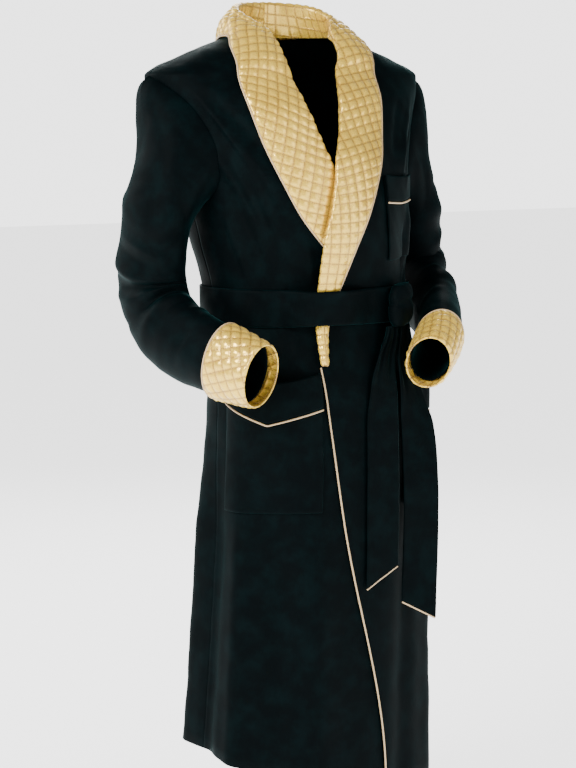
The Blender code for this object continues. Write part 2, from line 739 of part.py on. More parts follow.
def collar_grid(side, lapels):
    """A collar half's outer points: rows from its outer edge over the fold and under it."""
    sections = collar_sections(side, lapels)
    tracks = [list(track) for track in zip(*sections)]
    fine = [curve_point(tracks[2], t / 200) for t in range(201)]
    total = sum((b - a).length for a, b in zip(fine, fine[1:]))
    count = round(total / QUILT_STEP)
    spots, walked, goal = [0.0], 0.0, total / count
    for n, (a, b) in enumerate(zip(fine, fine[1:])):
        walked += (b - a).length
        if walked >= goal * len(spots) - 1e-9 and len(spots) < count:
            spots.append((n + 1) / 200)
    spots.append(1.0)
    columns = []
    for t in spots:
        roll, edge, target, lip, way, shape = (curve_point(track, t) for track in tracks)
        radius, wrap, reach = shape
        along = (curve_point(tracks[0], t + 0.01) - curve_point(tracks[0], t - 0.01)).normalized()
        way = (way - along * way.dot(along)).normalized()
        across = edge - roll
        across = (across - along * across.dot(along) - way * across.dot(way)).normalized()
        top = roll + way * radius
        bend = 2 * target - (top + edge) / 2
        column = []
        for k in range(FALL_ROWS + 1):
            w = 1 - k / FALL_ROWS
            column.append((1 - w) ** 2 * top + 2 * w * (1 - w) * bend + w * w * edge)
        for k in range(1, FOLD_ROWS + 1):
            a = math.pi * k / FOLD_ROWS
            column.append(roll + radius * (math.cos(a) * way - math.sin(a) * across))
        last = column[-1]
        inside = lip if wrap > 0.999 else roll + across * reach - way * radius
        for k in range(1, LIP_ROWS + 1):
            column.append(last.lerp(inside, k / LIP_ROWS))
        columns.append(column)
    for point in columns[-1]:
        point.x = side * SEAM
    if side < 0:
        columns.reverse()
    return [list(row) for row in zip(*columns)]


def build_collar(name, side, lapels, satin, cord):
    grid = collar_grid(side, lapels)

    def relief(row, column):
        return quilt(row, column) if row < FALL_ROWS else 0.0

    normals = grid_normals(grid, False)
    for row in normals:
        centre_back = row[-1] if side > 0 else row[0]
        centre_back.x = 0.0
        centre_back.normalize()
    wall("collar_" + name, satin, grid, SATIN, relief=relief, normals=normals, inside=COLLAR_INSIDE)
    edge = []
    for low, up in zip(grid[0], grid[1]):
        away = (low - up).normalized()
        edge.append(low + away * (PIPE_RADIUS + COLLAR_PIPE_GAP))
    piping("piping_collar_" + name, cord, edge)


# Pockets

# A pocket spans two angles; its mouth sags in the middle; its band's lower edge is a shallow V.
Pocket = namedtuple("Pocket", "start stop mouth sag low_start low_middle low_stop bottom bulge")
POCKET_RIGHT = Pocket(-169, -109, -0.512, 0.014, -0.552, -0.583, -0.561, -0.720, 0.020)
POCKET_LEFT = Pocket(-64, -6, -0.515, 0.014, -0.558, -0.583, -0.552, -0.720, 0.009)
POCKET_BREAST = Pocket(-71, -41, -0.217, 0.003, -0.254, -0.2555, -0.252, -0.340, 0.0015)
POCKET_COLUMNS = 9
POCKET_ROWS = 6
BAND_ROWS = 2
BAND_CLEAR = 0.0012
POCKET_CLEAR = 0.0017
POCKET_PIPE_DROP = 0.0041
POCKET_PIPE_OUT = 0.0026


def pocket_out(pocket, over, u, height, angle):
    """How far a pocket's bag stands out at a share of its width and a height."""
    up = (height - pocket.bottom) / (pocket.mouth - pocket.bottom)
    belly = math.sin(math.pi * u) ** 0.8 * ease(up, -0.05, 0.95)
    return over(height, angle) + POCKET_CLEAR + BAND + pocket.bulge * belly


def build_pocket(bag_name, band_name, cord_name, pocket, over, velvet, cord):
    bag, band, edge = [], [], []
    shares = [c / (POCKET_COLUMNS - 1) for c in range(POCKET_COLUMNS)]

    def place(u, height, more):
        angle = pocket.start + u * (pocket.stop - pocket.start)
        return body(height, angle, pocket_out(pocket, over, u, height, angle) + more)

    def mouth(u):
        return pocket.mouth - pocket.sag * math.sin(math.pi * u)

    def low(u):
        if u < 0.5:
            return pocket.low_start + 2 * u * (pocket.low_middle - pocket.low_start)
        return pocket.low_middle + (2 * u - 1) * (pocket.low_stop - pocket.low_middle)

    for r in range(POCKET_ROWS + 1):
        up = r / POCKET_ROWS
        bag.append([place(u, pocket.bottom + up * (mouth(u) - pocket.bottom), 0.0) for u in shares])
    for r in range(BAND_ROWS + 1):
        up = r / BAND_ROWS
        band.append([place(u, low(u) + up * (mouth(u) - low(u)), BAND + BAND_CLEAR) for u in shares])
    for u in shares:
        edge.append(place(u, low(u) - POCKET_PIPE_DROP, POCKET_PIPE_OUT))
    wall(bag_name, velvet, bag, BAND)
    wall(band_name, velvet, band, BAND)
    piping(cord_name, cord, edge)


# Belt

BELT_LOW = -0.440
BELT_HIGH = -0.386
BELT_COLUMNS = 38
BELT_ROWS = 2
BELT_BELLY = 0.0015
BELT_CLEAR = 0.0018
BELT_OVER_LAPEL = 0.0118
KNOT_ANGLE = -66.0
KNOT_HIGH = 0.031
KNOT_WIDE = 0.023
KNOT_DEEP = 0.0145
KNOT_LEAN = 0.16
KNOT_CLEAR = 0.0010
KNOT_BLUNT = 0.86
KNOT_ROUND = 0.85
GROOVE = 0.14
GROOVE_AT = 0.15
GROOVE_WIDE = 0.16
KNOT_SIDES = 12
KNOT_ROWS = 8


def belt_out(height, angle):
    """How far the belt's outer face stands out: it passes over the lapped front and the lapel."""
    over = lap(height, angle) * ease(angle, front_angle(height, -0.100), front_angle(height, -0.050))
    lapel = BELT_OVER_LAPEL * ease(angle, front_angle(height, -0.095), front_angle(height, -0.052))
    lapel *= 1 - ease(angle, front_angle(height, -0.006), front_angle(height, 0.045))
    return over + lapel + BELT_CLEAR + BELT_CLOTH


def build_belt(velvet):
    grid = []
    for r in range(BELT_ROWS + 1):
        up = r / BELT_ROWS
        height = BELT_LOW + up * (BELT_HIGH - BELT_LOW)
        line = []
        for c in range(BELT_COLUMNS):
            angle = -180 + 360 * c / BELT_COLUMNS
            line.append(body(height, angle, belt_out(height, angle) + BELT_BELLY * math.sin(math.pi * up)))
        grid.append(line)
    wall("belt", velvet, grid, BELT_CLOTH, closed=True)


def build_knot(velvet):
    """The half knot: a soft lump of cloth with a groove where the upper turn crosses the lower."""
    middle = (BELT_LOW + BELT_HIGH) / 2
    out = normal(middle, KNOT_ANGLE)
    out = Vector((out.x, out.y, 0)).normalized()
    side = Vector((0, 0, 1)).cross(out)
    start = body(middle, KNOT_ANGLE, belt_out(middle, KNOT_ANGLE) + BELT_BELLY + KNOT_CLEAR + KNOT_DEEP)
    sections = []
    for r in range(KNOT_ROWS + 1):
        up = -1 + 2 * r / KNOT_ROWS
        swell = math.sqrt(1 - (abs(up) * KNOT_BLUNT) ** 3)
        groove = 1 - GROOVE * math.exp(-((up - GROOVE_AT) / GROOVE_WIDE) ** 2)
        ring = []
        for k in range(KNOT_SIDES):
            a = math.tau * k / KNOT_SIDES
            across = math.copysign(abs(math.cos(a)) ** KNOT_ROUND, math.cos(a)) * KNOT_WIDE * swell
            deep = math.copysign(abs(math.sin(a)) ** KNOT_ROUND, math.sin(a)) * KNOT_DEEP * swell
            if deep > 0:
                deep *= groove
            height = up * KNOT_HIGH + across * KNOT_LEAN
            ring.append(start + side * (across * groove) + out * deep + Vector((0, 0, height)))
        sections.append(ring)
    loft("belt_knot", velvet, sections)


# A belt's tail: where its middle lies, how far it stands out, which way it faces and how wide it is
Tail = namedtuple("Tail", "height angle out face width")
TAIL_FRONT = (
    Tail(-0.842, -80.5, 0.0090, -92, 0.054),
    Tail(-0.700, -80.5, 0.0090, -92, 0.054),
    Tail(-0.600, -80.5, 0.0090, -92, 0.053),
    Tail(-0.540, -79.0, 0.0090, -88, 0.046),
    Tail(-0.490, -75.5, 0.0120, -80, 0.033),
    Tail(-0.450, -71.5, 0.0190, -72, 0.023),
)
TAIL_SIDE = (
    Tail(-0.897, -63.0, 0.0330, -106, 0.054),
    Tail(-0.700, -63.0, 0.0320, -104, 0.054),
    Tail(-0.600, -62.5, 0.0260, -94, 0.054),
    Tail(-0.540, -63.0, 0.0160, -76, 0.042),
    Tail(-0.490, -63.0, 0.0120, -68, 0.031),
    Tail(-0.450, -62.0, 0.0190, -65, 0.022),
)
TAIL_COLUMNS = 6
TAIL_ROWS = 14
TAIL_CREASE = 0.0025
TAIL_PIPE_GAP = 0.0006


def build_tail(name, rows, left_end, right_end, velvet, cord):
    grid = []
    top = rows[-1].height
    for r in range(TAIL_ROWS + 1):
        line = []
        for c in range(TAIL_COLUMNS):
            u = c / (TAIL_COLUMNS - 1)
            end = left_end + u * (right_end - left_end)
            height = end + (top - end) * r / TAIL_ROWS
            width = read(rows, "width", height)
            angle = read(rows, "angle", height)
            face = math.radians(read(rows, "face", height))
            across = Vector((-math.sin(face), math.cos(face), 0))
            crease = TAIL_CREASE * ease(width, 0.052, 0.026) * math.cos(2 * math.tau * u)
            middle = body(height, angle, lap(height, angle) + read(rows, "out", height) + crease)
            line.append(middle + across * (width * (u - 0.5)))
        grid.append(line)
    wall(name, velvet, grid, BELT_CLOTH)
    edge = []
    for low, up in zip(grid[0], grid[1]):
        down = (low - up).normalized()
        face = math.radians(rows[0].face)
        inside = Vector((math.cos(face), math.sin(face), 0)) * (BELT_CLOTH / 2)
        edge.append(low + down * (PIPE_RADIUS + TAIL_PIPE_GAP) - inside)
    piping("piping_" + name, cord, edge)


# The front's free edge carries the piping on from the collar to the hem.
EDGE_PIPING_TOP = -0.500


def front_edge_line():
    """The middle of the piping along the left front, from the hem up to the collar's end."""
    line = []
    for row in PANEL_ROWS:
        if row > EDGE_PIPING_TOP:
            break
        angle = front_edge(row, 1)
        height = lowered(row, angle)
        edge = body(height, angle, lap(height, angle) - VELVET / 2)
        away = edge - body(height, angle + 2, lap(height, angle) - VELVET / 2)
        line.append(edge + away.normalized() * (PIPE_RADIUS + PIPE_GAP))
    return line


def finish(name, colour, roughness, sheen):
    """A cloth: its colour, how rough it is and how much light its pile catches."""
    material = bpy.data.materials.new(name)
    material.use_nodes = True
    shader = material.node_tree.nodes["Principled BSDF"]
    shader.inputs["Base Color"].default_value = (*colour, 1)
    shader.inputs["Roughness"].default_value = roughness
    shader.inputs["Metallic"].default_value = 0.0
    shader.inputs["Sheen Weight"].default_value = sheen
    material.diffuse_color = (*colour, 1)
    return material


def main():
    for piece in list(bpy.data.objects):
        bpy.data.objects.remove(piece, do_unlink=True)
    velvet = finish("green_black_velvet", (0.004, 0.020, 0.022), 0.75, 0.6)
    satin = finish("gold_satin", (0.78, 0.62, 0.30), 0.38, 0.0)
    cord = finish("cream_gold_piping", (0.70, 0.56, 0.38), 0.45, 0.0)

    build_panels(velvet)
    build_sleeve("right", -1, ARM_RIGHT, velvet, satin, cord)
    build_sleeve("left", 1, ARM_LEFT, velvet, satin, cord)
    build_collar("right", -1, LAPEL_RIGHT, satin, cord)
    build_collar("left", 1, LAPEL_LEFT, satin, cord)
    piping("piping_front", cord, front_edge_line())
    build_pocket("pocket_right", "pocket_band_right", "piping_pocket_right", POCKET_RIGHT,
                 lambda height, angle: 0.0, velvet, cord)
    build_pocket("pocket_left", "pocket_band_left", "piping_pocket_left", POCKET_LEFT,
                 lap, velvet, cord)
    build_pocket("breast_pocket", "breast_band", "piping_breast", POCKET_BREAST,
                 lap, velvet, cord)
    build_belt(velvet)
    build_knot(velvet)
    build_tail("belt_tail_front", TAIL_FRONT, -0.842, -0.811, velvet, cord)
    build_tail("belt_tail_side", TAIL_SIDE, -0.869, -0.897, velvet, cord)


main()
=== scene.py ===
"""Finishes a velvet smoking jacket: velvet panels, quilted satin collar and cuffs, piping and a tied belt.

Metres, +Z up, the front towards -Y and the jacket's own left towards +X. Angles are in degrees round
it: 0 is its left side, -90 the front, 180 the right side and 90 the back.
"""
import math
from collections import namedtuple

import bpy
import numpy as np
from bpy.props import FloatProperty, FloatVectorProperty, PointerProperty
from bpy.types import Operator, Panel, PropertyGroup
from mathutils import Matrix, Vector


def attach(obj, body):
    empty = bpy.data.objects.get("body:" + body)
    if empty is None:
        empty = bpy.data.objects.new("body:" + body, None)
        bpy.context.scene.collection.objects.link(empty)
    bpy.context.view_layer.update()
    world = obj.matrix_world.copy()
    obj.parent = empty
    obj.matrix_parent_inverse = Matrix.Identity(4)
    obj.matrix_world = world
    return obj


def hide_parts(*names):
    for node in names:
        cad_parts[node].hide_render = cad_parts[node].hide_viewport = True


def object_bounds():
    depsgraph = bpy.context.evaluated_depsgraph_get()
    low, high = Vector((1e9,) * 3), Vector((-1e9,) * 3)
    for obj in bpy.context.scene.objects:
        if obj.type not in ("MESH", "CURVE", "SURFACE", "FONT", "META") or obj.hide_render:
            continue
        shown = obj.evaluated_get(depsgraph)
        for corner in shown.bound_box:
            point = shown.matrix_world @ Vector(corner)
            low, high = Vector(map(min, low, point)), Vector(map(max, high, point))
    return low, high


bl_info = {
    "name": "Smoking jacket finish",
    "version": (1, 0, 0),
    "blender": (4, 5, 0),
    "location": "View3D > Sidebar > Jacket",
    "description": "Builds the cloth, quilting and piping of a smoking jacket on its packed frame",
    "category": "Add Mesh",
}

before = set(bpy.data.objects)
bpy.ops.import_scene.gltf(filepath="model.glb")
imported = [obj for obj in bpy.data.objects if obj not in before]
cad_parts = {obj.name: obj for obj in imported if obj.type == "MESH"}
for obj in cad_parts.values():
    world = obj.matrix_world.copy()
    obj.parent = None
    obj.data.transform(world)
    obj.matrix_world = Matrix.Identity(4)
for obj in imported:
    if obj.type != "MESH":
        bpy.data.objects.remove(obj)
CAD_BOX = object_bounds()

# Cloth walls and the gaps between pieces
VELVET = 0.0023
BAND = 0.0020
BELT_CLOTH = 0.0036
SATIN = 0.0030
SEAM = 0.0003
PIPE_GAP = 0.0006

# Steps: round and up the form to find the way out of it, and along a cord of piping
TURN_STEP = 1.5
RISE_STEP = 0.004
CORD_STEP = 0.004

# A cord of piping: its sides, how far its rounded tips reach, and a way that none of them runs
CORD_SIDES = 10
CORD_TIP = 0.7
CORD_START = (0.3, 0.5, 0.8)

# How full a quilted cell is: lower is flatter on top, with steeper sides
QUILT_ROUNDNESS = 0.55

# Heights that several pieces share
UNDERARM = -0.262
SHOULDER_TIP = -0.065
NECK_DROP = 0.012
LOWEST_HEM = -1.125

# The form's level sections: the middle, the half width, how far the front and the back stand from
# the side line, and how square the section is (2 is an ellipse).
Ring = namedtuple("Ring", "height centre_x side_y half_width front back squareness")
BODY = (
    Ring(-1.160, 0.008, -0.037, 0.197, 0.137, 0.136, 2.2),
    Ring(-0.950, 0.012, -0.038, 0.188, 0.135, 0.134, 2.2),
    Ring(-0.737, 0.017, -0.040, 0.180, 0.133, 0.131, 2.2),
    Ring(-0.560, 0.020, -0.038, 0.174, 0.128, 0.125, 2.2),
    Ring(-0.490, 0.018, -0.032, 0.172, 0.123, 0.122, 2.2),
    Ring(-0.430, 0.015, -0.025, 0.166, 0.120, 0.118, 2.2),
    Ring(-0.390, 0.014, -0.020, 0.166, 0.124, 0.116, 2.2),
    Ring(-0.320, 0.008, -0.008, 0.172, 0.150, 0.130, 2.2),
    Ring(-0.262, 0.004, 0.000, 0.180, 0.159, 0.139, 2.2),
    Ring(-0.210, 0.002, 0.006, 0.190, 0.158, 0.134, 2.2),
    Ring(-0.160, 0.000, 0.012, 0.204, 0.148, 0.124, 2.2),
    Ring(-0.100, 0.000, 0.018, 0.224, 0.126, 0.109, 2.3),
    Ring(-0.065, 0.000, 0.020, 0.236, 0.098, 0.096, 2.3),
    Ring(-0.054, 0.000, 0.020, 0.222, 0.094, 0.093, 2.3),
    Ring(-0.042, 0.000, 0.019, 0.195, 0.087, 0.089, 2.2),
    Ring(-0.028, 0.000, 0.018, 0.160, 0.080, 0.083, 2.1),
    Ring(-0.014, 0.000, 0.018, 0.120, 0.073, 0.076, 2.0),
    Ring(0.000, 0.000, 0.018, 0.087, 0.066, 0.069, 2.0),
    Ring(0.020, 0.000, 0.019, 0.080, 0.063, 0.064, 2.0),
    Ring(0.050, 0.000, 0.020, 0.077, 0.062, 0.061, 2.0),
)

# The armhole's edges, measured round from the side line
Armhole = namedtuple("Armhole", "height front back")
ARMHOLE = (
    Armhole(-0.2620, 0.0, 0.0),
    Armhole(-0.2580, 9.0, 8.0),
    Armhole(-0.2450, 18.0, 16.0),
    Armhole(-0.2150, 27.0, 24.0),
    Armhole(-0.1700, 31.0, 27.0),
    Armhole(-0.1250, 28.0, 26.0),
    Armhole(-0.0920, 20.0, 20.0),
    Armhole(-0.0740, 10.0, 11.0),
    Armhole(-0.0650, 0.0, 0.0),
)

# Where each front ends, across the body. The left front laps over the right one.
Edge = namedtuple("Edge", "height left right")
FRONT_EDGE = (
    Edge(-1.160, 0.070, -0.115),
    Edge(-0.737, -0.0105, -0.100),
    Edge(-0.620, -0.026, -0.085),
    Edge(-0.550, -0.034, -0.070),
    Edge(-0.440, -0.043, -0.058),
    Edge(-0.390, -0.042, -0.050),
    Edge(-0.314, -0.038, -0.020),
    Edge(-0.254, -0.022, 0.009),
    Edge(-0.194, -0.004, 0.034),
    Edge(-0.150, 0.016, 0.045),
    Edge(-0.100, 0.034, 0.057),
    Edge(-0.040, 0.062, 0.062),
    Edge(0.000, 0.070, 0.070),
)

# How far the left front stands out over what lies under it, and how far past the right front's edge,
# in degrees, it starts to come down and is down
LAP_STARTS_DOWN = 10
LAP_IS_DOWN = 38
Lap = namedtuple("Lap", "height out")
LAP = (Lap(-1.16, 0.0046), Lap(-0.47, 0.0050), Lap(-0.40, 0.0110), Lap(-0.37, 0.0156),
       Lap(-0.22, 0.0154), Lap(-0.13, 0.0))

# Folds: each runs from its top to its foot, and is this deep and wide. The large ones come first,
# and after them the small ones of the chest, the waist's gathers and the skirt. Each grows over the
# first share of its length, and fades from the second share on, unless it runs out over the hem.
FOLD_GROWN = 0.35
FOLD_FADES = 0.6
Fold = namedtuple("Fold", "top top_angle foot foot_angle depth width")
FOLDS = (
    Fold(-0.07, -152, -0.27, -118, 0.0050, 0.013),
    Fold(-0.08, -142, -0.25, -112, -0.0040, 0.014),
    Fold(-0.13, -160, -0.33, -128, 0.0045, 0.012),
    Fold(-0.24, -150, -0.38, -135, -0.0045, 0.013),
    Fold(-0.09, -40, -0.23, -52, 0.0045, 0.013),
    Fold(-0.08, -52, -0.21, -58, -0.0035, 0.012),
    Fold(-0.25, -42, -0.38, -46, 0.0050, 0.010),
    Fold(-0.26, -32, -0.38, -33, -0.0050, 0.011),
    Fold(-0.27, -22, -0.38, -20, 0.0045, 0.010),
    Fold(-0.45, -36, -0.66, -44, 0.0050, 0.012),
    Fold(-0.44, -24, -0.70, -28, -0.0055, 0.015),
    Fold(-0.45, -120, -0.52, -118, 0.0045, 0.011),
    Fold(-0.44, -148, -0.56, -152, 0.0050, 0.013),
    Fold(-0.62, -30, -1.20, -38, 0.0110, 0.026),
    Fold(-0.66, -58, -1.20, -64, -0.0090, 0.026),
    Fold(-0.70, -112, -1.20, -104, 0.0100, 0.028),
    Fold(-0.66, -132, -1.20, -128, -0.0100, 0.026),
    Fold(-0.60, -156, -1.20, -152, 0.0100, 0.026),
    Fold(-0.58, -176, -1.20, -176, -0.0090, 0.024),
    Fold(-0.56, 164, -1.20, 161, 0.0110, 0.028),
    Fold(-0.60, 142, -1.20, 138, -0.0100, 0.028),
    Fold(-0.55, 118, -1.20, 116, 0.0110, 0.030),
    Fold(-0.60, 92, -1.20, 91, -0.0110, 0.030),
    Fold(-0.57, 68, -1.20, 66, 0.0100, 0.028),
    Fold(-0.60, 44, -1.20, 42, -0.0100, 0.028),
    Fold(-0.58, 20, -1.20, 16, 0.0110, 0.026),
    Fold(-0.62, 0, -1.20, -6, -0.0090, 0.024),
    Fold(-0.24, 120, -0.38, 112, 0.0060, 0.014),
    Fold(-0.22, 98, -0.38, 97, -0.0060, 0.014),
    Fold(-0.24, 76, -0.38, 80, 0.0060, 0.014),
    Fold(-0.27, 142, -0.38, 136, -0.0050, 0.014),
    Fold(-0.27, 52, -0.38, 58, -0.0050, 0.014),
    Fold(-0.12, 136, -0.26, 150, 0.0050, 0.015),
    Fold(-0.12, 44, -0.26, 30, 0.0050, 0.015),
    Fold(-0.45, 104, -0.53, 104, 0.0050, 0.013),
    Fold(-0.45, 78, -0.53, 78, 0.0050, 0.013),
    Fold(-0.10, -146, -0.30, -122, 0.0022, 0.006),
    Fold(-0.16, -148, -0.36, -126, -0.0020, 0.006),
    Fold(-0.20, -140, -0.38, -124, 0.0022, 0.006),
    Fold(-0.26, -158, -0.39, -146, 0.0020, 0.006),
    Fold(-0.29, -130, -0.39, -120, -0.0020, 0.006),
    Fold(-0.31, -112, -0.39, -108, 0.0018, 0.006),
    Fold(-0.12, -34, -0.24, -42, -0.0022, 0.006),
    Fold(-0.13, -46, -0.25, -50, 0.0020, 0.006),
    Fold(-0.28, -50, -0.39, -52, -0.0022, 0.006),
    Fold(-0.30, -38, -0.39, -39, 0.0020, 0.005),
    Fold(-0.29, -28, -0.39, -27, -0.0020, 0.005),
    Fold(-0.31, -14, -0.39, -13, 0.0022, 0.006),
    Fold(-0.44, -50, -0.58, -54, 0.0026, 0.008),
    Fold(-0.44, -42, -0.56, -46, -0.0022, 0.007),
    Fold(-0.44, -12, -0.60, -10, 0.0026, 0.008),
    Fold(-0.44, -132, -0.50, -130, -0.0022, 0.007),
    Fold(-0.44, -106, -0.50, -104, 0.0022, 0.007),
    Fold(-0.44, -96, -0.52, -96, -0.0018, 0.007),
    Fold(-0.44, 120, -0.54, 121, -0.0022, 0.008),
    Fold(-0.44, 92, -0.56, 91, 0.0024, 0.008),
    Fold(-0.44, 60, -0.54, 60, -0.0022, 0.008),
    Fold(-0.44, 30, -0.56, 28, 0.0024, 0.008),
    Fold(-0.44, 148, -0.56, 150, 0.0024, 0.008),
    Fold(-0.28, 108, -0.39, 104, 0.0022, 0.006),
    Fold(-0.29, 86, -0.39, 88, -0.0020, 0.006),
    Fold(-0.30, 130, -0.39, 126, 0.0020, 0.006),
    Fold(-0.30, 66, -0.39, 68, 0.0020, 0.006),
    Fold(-0.15, 128, -0.30, 138, -0.0020, 0.008),
    Fold(-0.15, 52, -0.30, 42, -0.0020, 0.008),
)


# Numbers read from tables, for whole arrays of places


def read(rows, column, at):
    """Reads a column at places between the rows, on a smooth curve that never overshoots."""
    rows = sorted(rows)
    keys = np.array([row[0] for row in rows])
    values = np.array([getattr(row, column) for row in rows])
    at = np.clip(at, keys[0], keys[-1])
    i = np.clip(np.searchsorted(keys, at, side="right") - 1, 0, len(keys) - 2)
    rise = np.diff(values) / np.diff(keys)
    slopes = np.zeros(len(keys))
    before, after = rise[:-1], rise[1:]
    same = before * after > 0
    slopes[1:-1][same] = 2 * before[same] * after[same] / (before[same] + after[same])
    span = keys[i + 1] - keys[i]
    t = (at - keys[i]) / span
    start = values[i] + t * t * (3 - 2 * t) * (values[i + 1] - values[i])
    return start + span * (t * (1 - t) ** 2 * slopes[i] - t * t * (1 - t) * slopes[i + 1])


def ease(at, start, end):
    """0 before start, 1 after end, and smooth between."""
    t = np.clip((at - start) / (end - start), 0.0, 1.0)
    return t * t * (3 - 2 * t)


def turn(angle):
    """An angle between -180 and 180 degrees."""
    return (angle + 180.0) % 360.0 - 180.0


def unit(ways):
    """Directions of length 1."""
    return ways / np.maximum(np.linalg.norm(ways, axis=-1, keepdims=True), 1e-12)


def spot(x, y, z):
    """Points from arrays of their three places."""
    return np.stack(np.broadcast_arrays(x, y, z), axis=-1).astype(float)


def drape(height, angle, radius):
    """How far the folds push the cloth out."""
    out = np.zeros(np.broadcast(height, angle).shape)
    for fold in FOLDS:
        t = (fold.top - height) / (fold.top - fold.foot)
        middle = fold.top_angle + t * turn(fold.foot_angle - fold.top_angle)
        away = np.radians(turn(angle - middle)) * radius / fold.width
        share = ease(t, 0, FOLD_GROWN) * (1 if fold.foot < LOWEST_HEM else 1 - ease(t, FOLD_FADES, 1))
        out = out + fold.depth * share * np.exp(-np.minimum(away * away, 40))
    return out


def section(height, angle):
    """Points of the worn form at heights and angles."""
    ring = Ring(height, *(read(BODY, column, height) for column in Ring._fields[1:]))
    across, along = np.cos(np.radians(angle)), np.sin(np.radians(angle))
    power = 2.0 / ring.squareness
    depth = np.where(along > 0, ring.back, ring.front)
    x = np.sign(across) * np.abs(across) ** power
    y = np.sign(along) * np.abs(along) ** power
    push = 1 + drape(height, angle, ring.half_width) / ring.half_width
    return spot(ring.centre_x + ring.half_width * x * push, ring.side_y + depth * y * push, height)


def normal(height, angle):
    """The ways out of the worn form."""
    round_body = section(height, angle + TURN_STEP) - section(height, angle - TURN_STEP)
    up = section(height + RISE_STEP, angle) - section(height - RISE_STEP, angle)
    return unit(np.cross(round_body, up))


def body(height, angle, out=0.0):
    """Points of the worn form, moved out of the cloth's face by some distance."""
    return section(height, angle) + np.asarray(out)[..., None] * normal(height, angle)


def front_angle(height, x):
    """The angle of the point of the front that lies at x."""
    share = (x - read(BODY, "centre_x", height)) / read(BODY, "half_width", height)
    share = np.clip(share, -1.0, 1.0)
    across = np.sign(share) * np.abs(share) ** (read(BODY, "squareness", height) / 2.0)
    return -np.degrees(np.arccos(across))


def lap(height, angle):
    """How far the left front stands out over the right one."""
    under = front_angle(height, -read(FRONT_EDGE, "right", height))
    return read(LAP, "out", height) * (1 - ease(angle, under + LAP_STARTS_DOWN, under + LAP_IS_DOWN))


def flat_on(height, angle):
    """The place of what lies straight on the body."""
    return np.zeros(np.broadcast(height, angle).shape)


def curve_point(points, t):
    """Points of the smooth curve through some points, at shares t of their count."""
    points = np.asarray(points, float)
    place = np.clip(t, 0.0, 1.0) * (len(points) - 1)
    i = np.minimum(place.astype(int), len(points) - 2) if np.ndim(place) else min(int(place), len(points) - 2)
    t = np.asarray(place - i)[..., None]
    a, b = points[np.maximum(i - 1, 0)], points[i]
    c, d = points[i + 1], points[np.minimum(i + 2, len(points) - 1)]
    return 0.5 * (2 * b + (c - a) * t + (2 * a - 5 * b + 4 * c - d) * t * t
                  + (3 * b - a - 3 * c + d) * t * t * t)


def spread(stops, parts):
    """Each step between stops, cut into equal parts."""
    stops = np.asarray(stops, float)
    places = np.arange((len(stops) - 1) * parts + 1) / parts
    return np.interp(places, np.arange(len(stops)), stops)


def uneven(points, size, depth):
    """The small unevenness of cloth: gentle waves that cross at odd angles, about this far apart."""
    out = np.zeros(points.shape[:-1])
    for k, way in enumerate(((1.0, 0.3, 0.6), (-0.5, 0.9, 0.4), (0.3, -0.6, 1.1), (0.8, 0.8, -0.5))):
        wave = points @ np.array(way) * math.tau / (size * (1 + 0.23 * k))
        out += np.sin(wave + 1.7 * k + 0.8 * np.sin(0.6 * wave + k))
    return depth * out / 2


# Meshes


def grid_ways(grid, closed=False):
    """The ways out at each point of a grid: rows run upwards and columns anticlockwise."""
    if closed:
        round_it = np.roll(grid, -1, axis=1) - np.roll(grid, 1, axis=1)
    else:
        round_it = np.gradient(grid, axis=1)
    return unit(np.cross(round_it, np.gradient(grid, axis=0)))


def wrapped(grid):
    """A closed grid with its first column again at its end."""
    return np.concatenate((grid, grid[:, :1]), axis=1)


def ring_faces(index):
    """The faces between the rings of a closed grid, from the numbers of its points."""
    low, high = index[:-1], index[1:]
    return np.stack((low, np.roll(low, -1, 1), np.roll(high, -1, 1), high), -1).reshape(-1, 4)


def lay_flat(grid, ways, line, closed=False):
    """The places of a grid's points in its flat cut, unrolled from one of its rows."""
    if closed:
        grid, ways = wrapped(grid), wrapped(ways)
    spine = grid[line]
    steps = np.linalg.norm(np.diff(spine, axis=0), axis=1)
    along = unit(np.gradient(spine, axis=0))
    side = np.cross(ways[line], along)
    bend = np.einsum("ij,ij->i", np.gradient(along, axis=0), side)
    heading = np.concatenate(([0.0], np.cumsum((bend[1:] + bend[:-1]) / 2)))
    middle = (heading[1:] + heading[:-1]) / 2
    flat = np.zeros((len(spine), 2))
    flat[1:, 0] = np.cumsum(steps * np.cos(middle))
    flat[1:, 1] = np.cumsum(steps * np.sin(middle))
    rises = np.zeros(grid.shape[:2])
    rises[1:] = np.cumsum(np.linalg.norm(np.diff(grid, axis=0), axis=2), axis=0)
    rises = rises - rises[line]
    across = np.stack((-np.sin(heading), np.cos(heading)), axis=-1)
    return flat[None] + rises[..., None] * across[None]


def turned(places, degrees, size):
    """Flat places on a grid of cells that is turned, counted in cells."""
    a = math.radians(degrees)
    x, y = places[..., 0], places[..., 1]
    return np.stack((x * math.cos(a) + y * math.sin(a), y * math.cos(a) - x * math.sin(a)), axis=-1) / size


def puff(cells, rise, sink):
    """The rise of quilted cloth: low along the stitches and high in the middle of each cell."""
    swell = np.abs(np.sin(math.pi * cells[..., 0]) * np.sin(math.pi * cells[..., 1]))
    return (rise + sink) * swell ** QUILT_ROUNDNESS - sink


def finished(name, mesh, node_names, finish):
    """A piece that stands for CAD nodes, with its finish."""
    piece = bpy.data.objects.new(name, mesh)
    bpy.context.scene.collection.objects.link(piece)
    mesh.materials.append(cloth_material(finish))
    mesh.shade_smooth()
    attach(piece, "root")
    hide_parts(*node_names)
    return piece


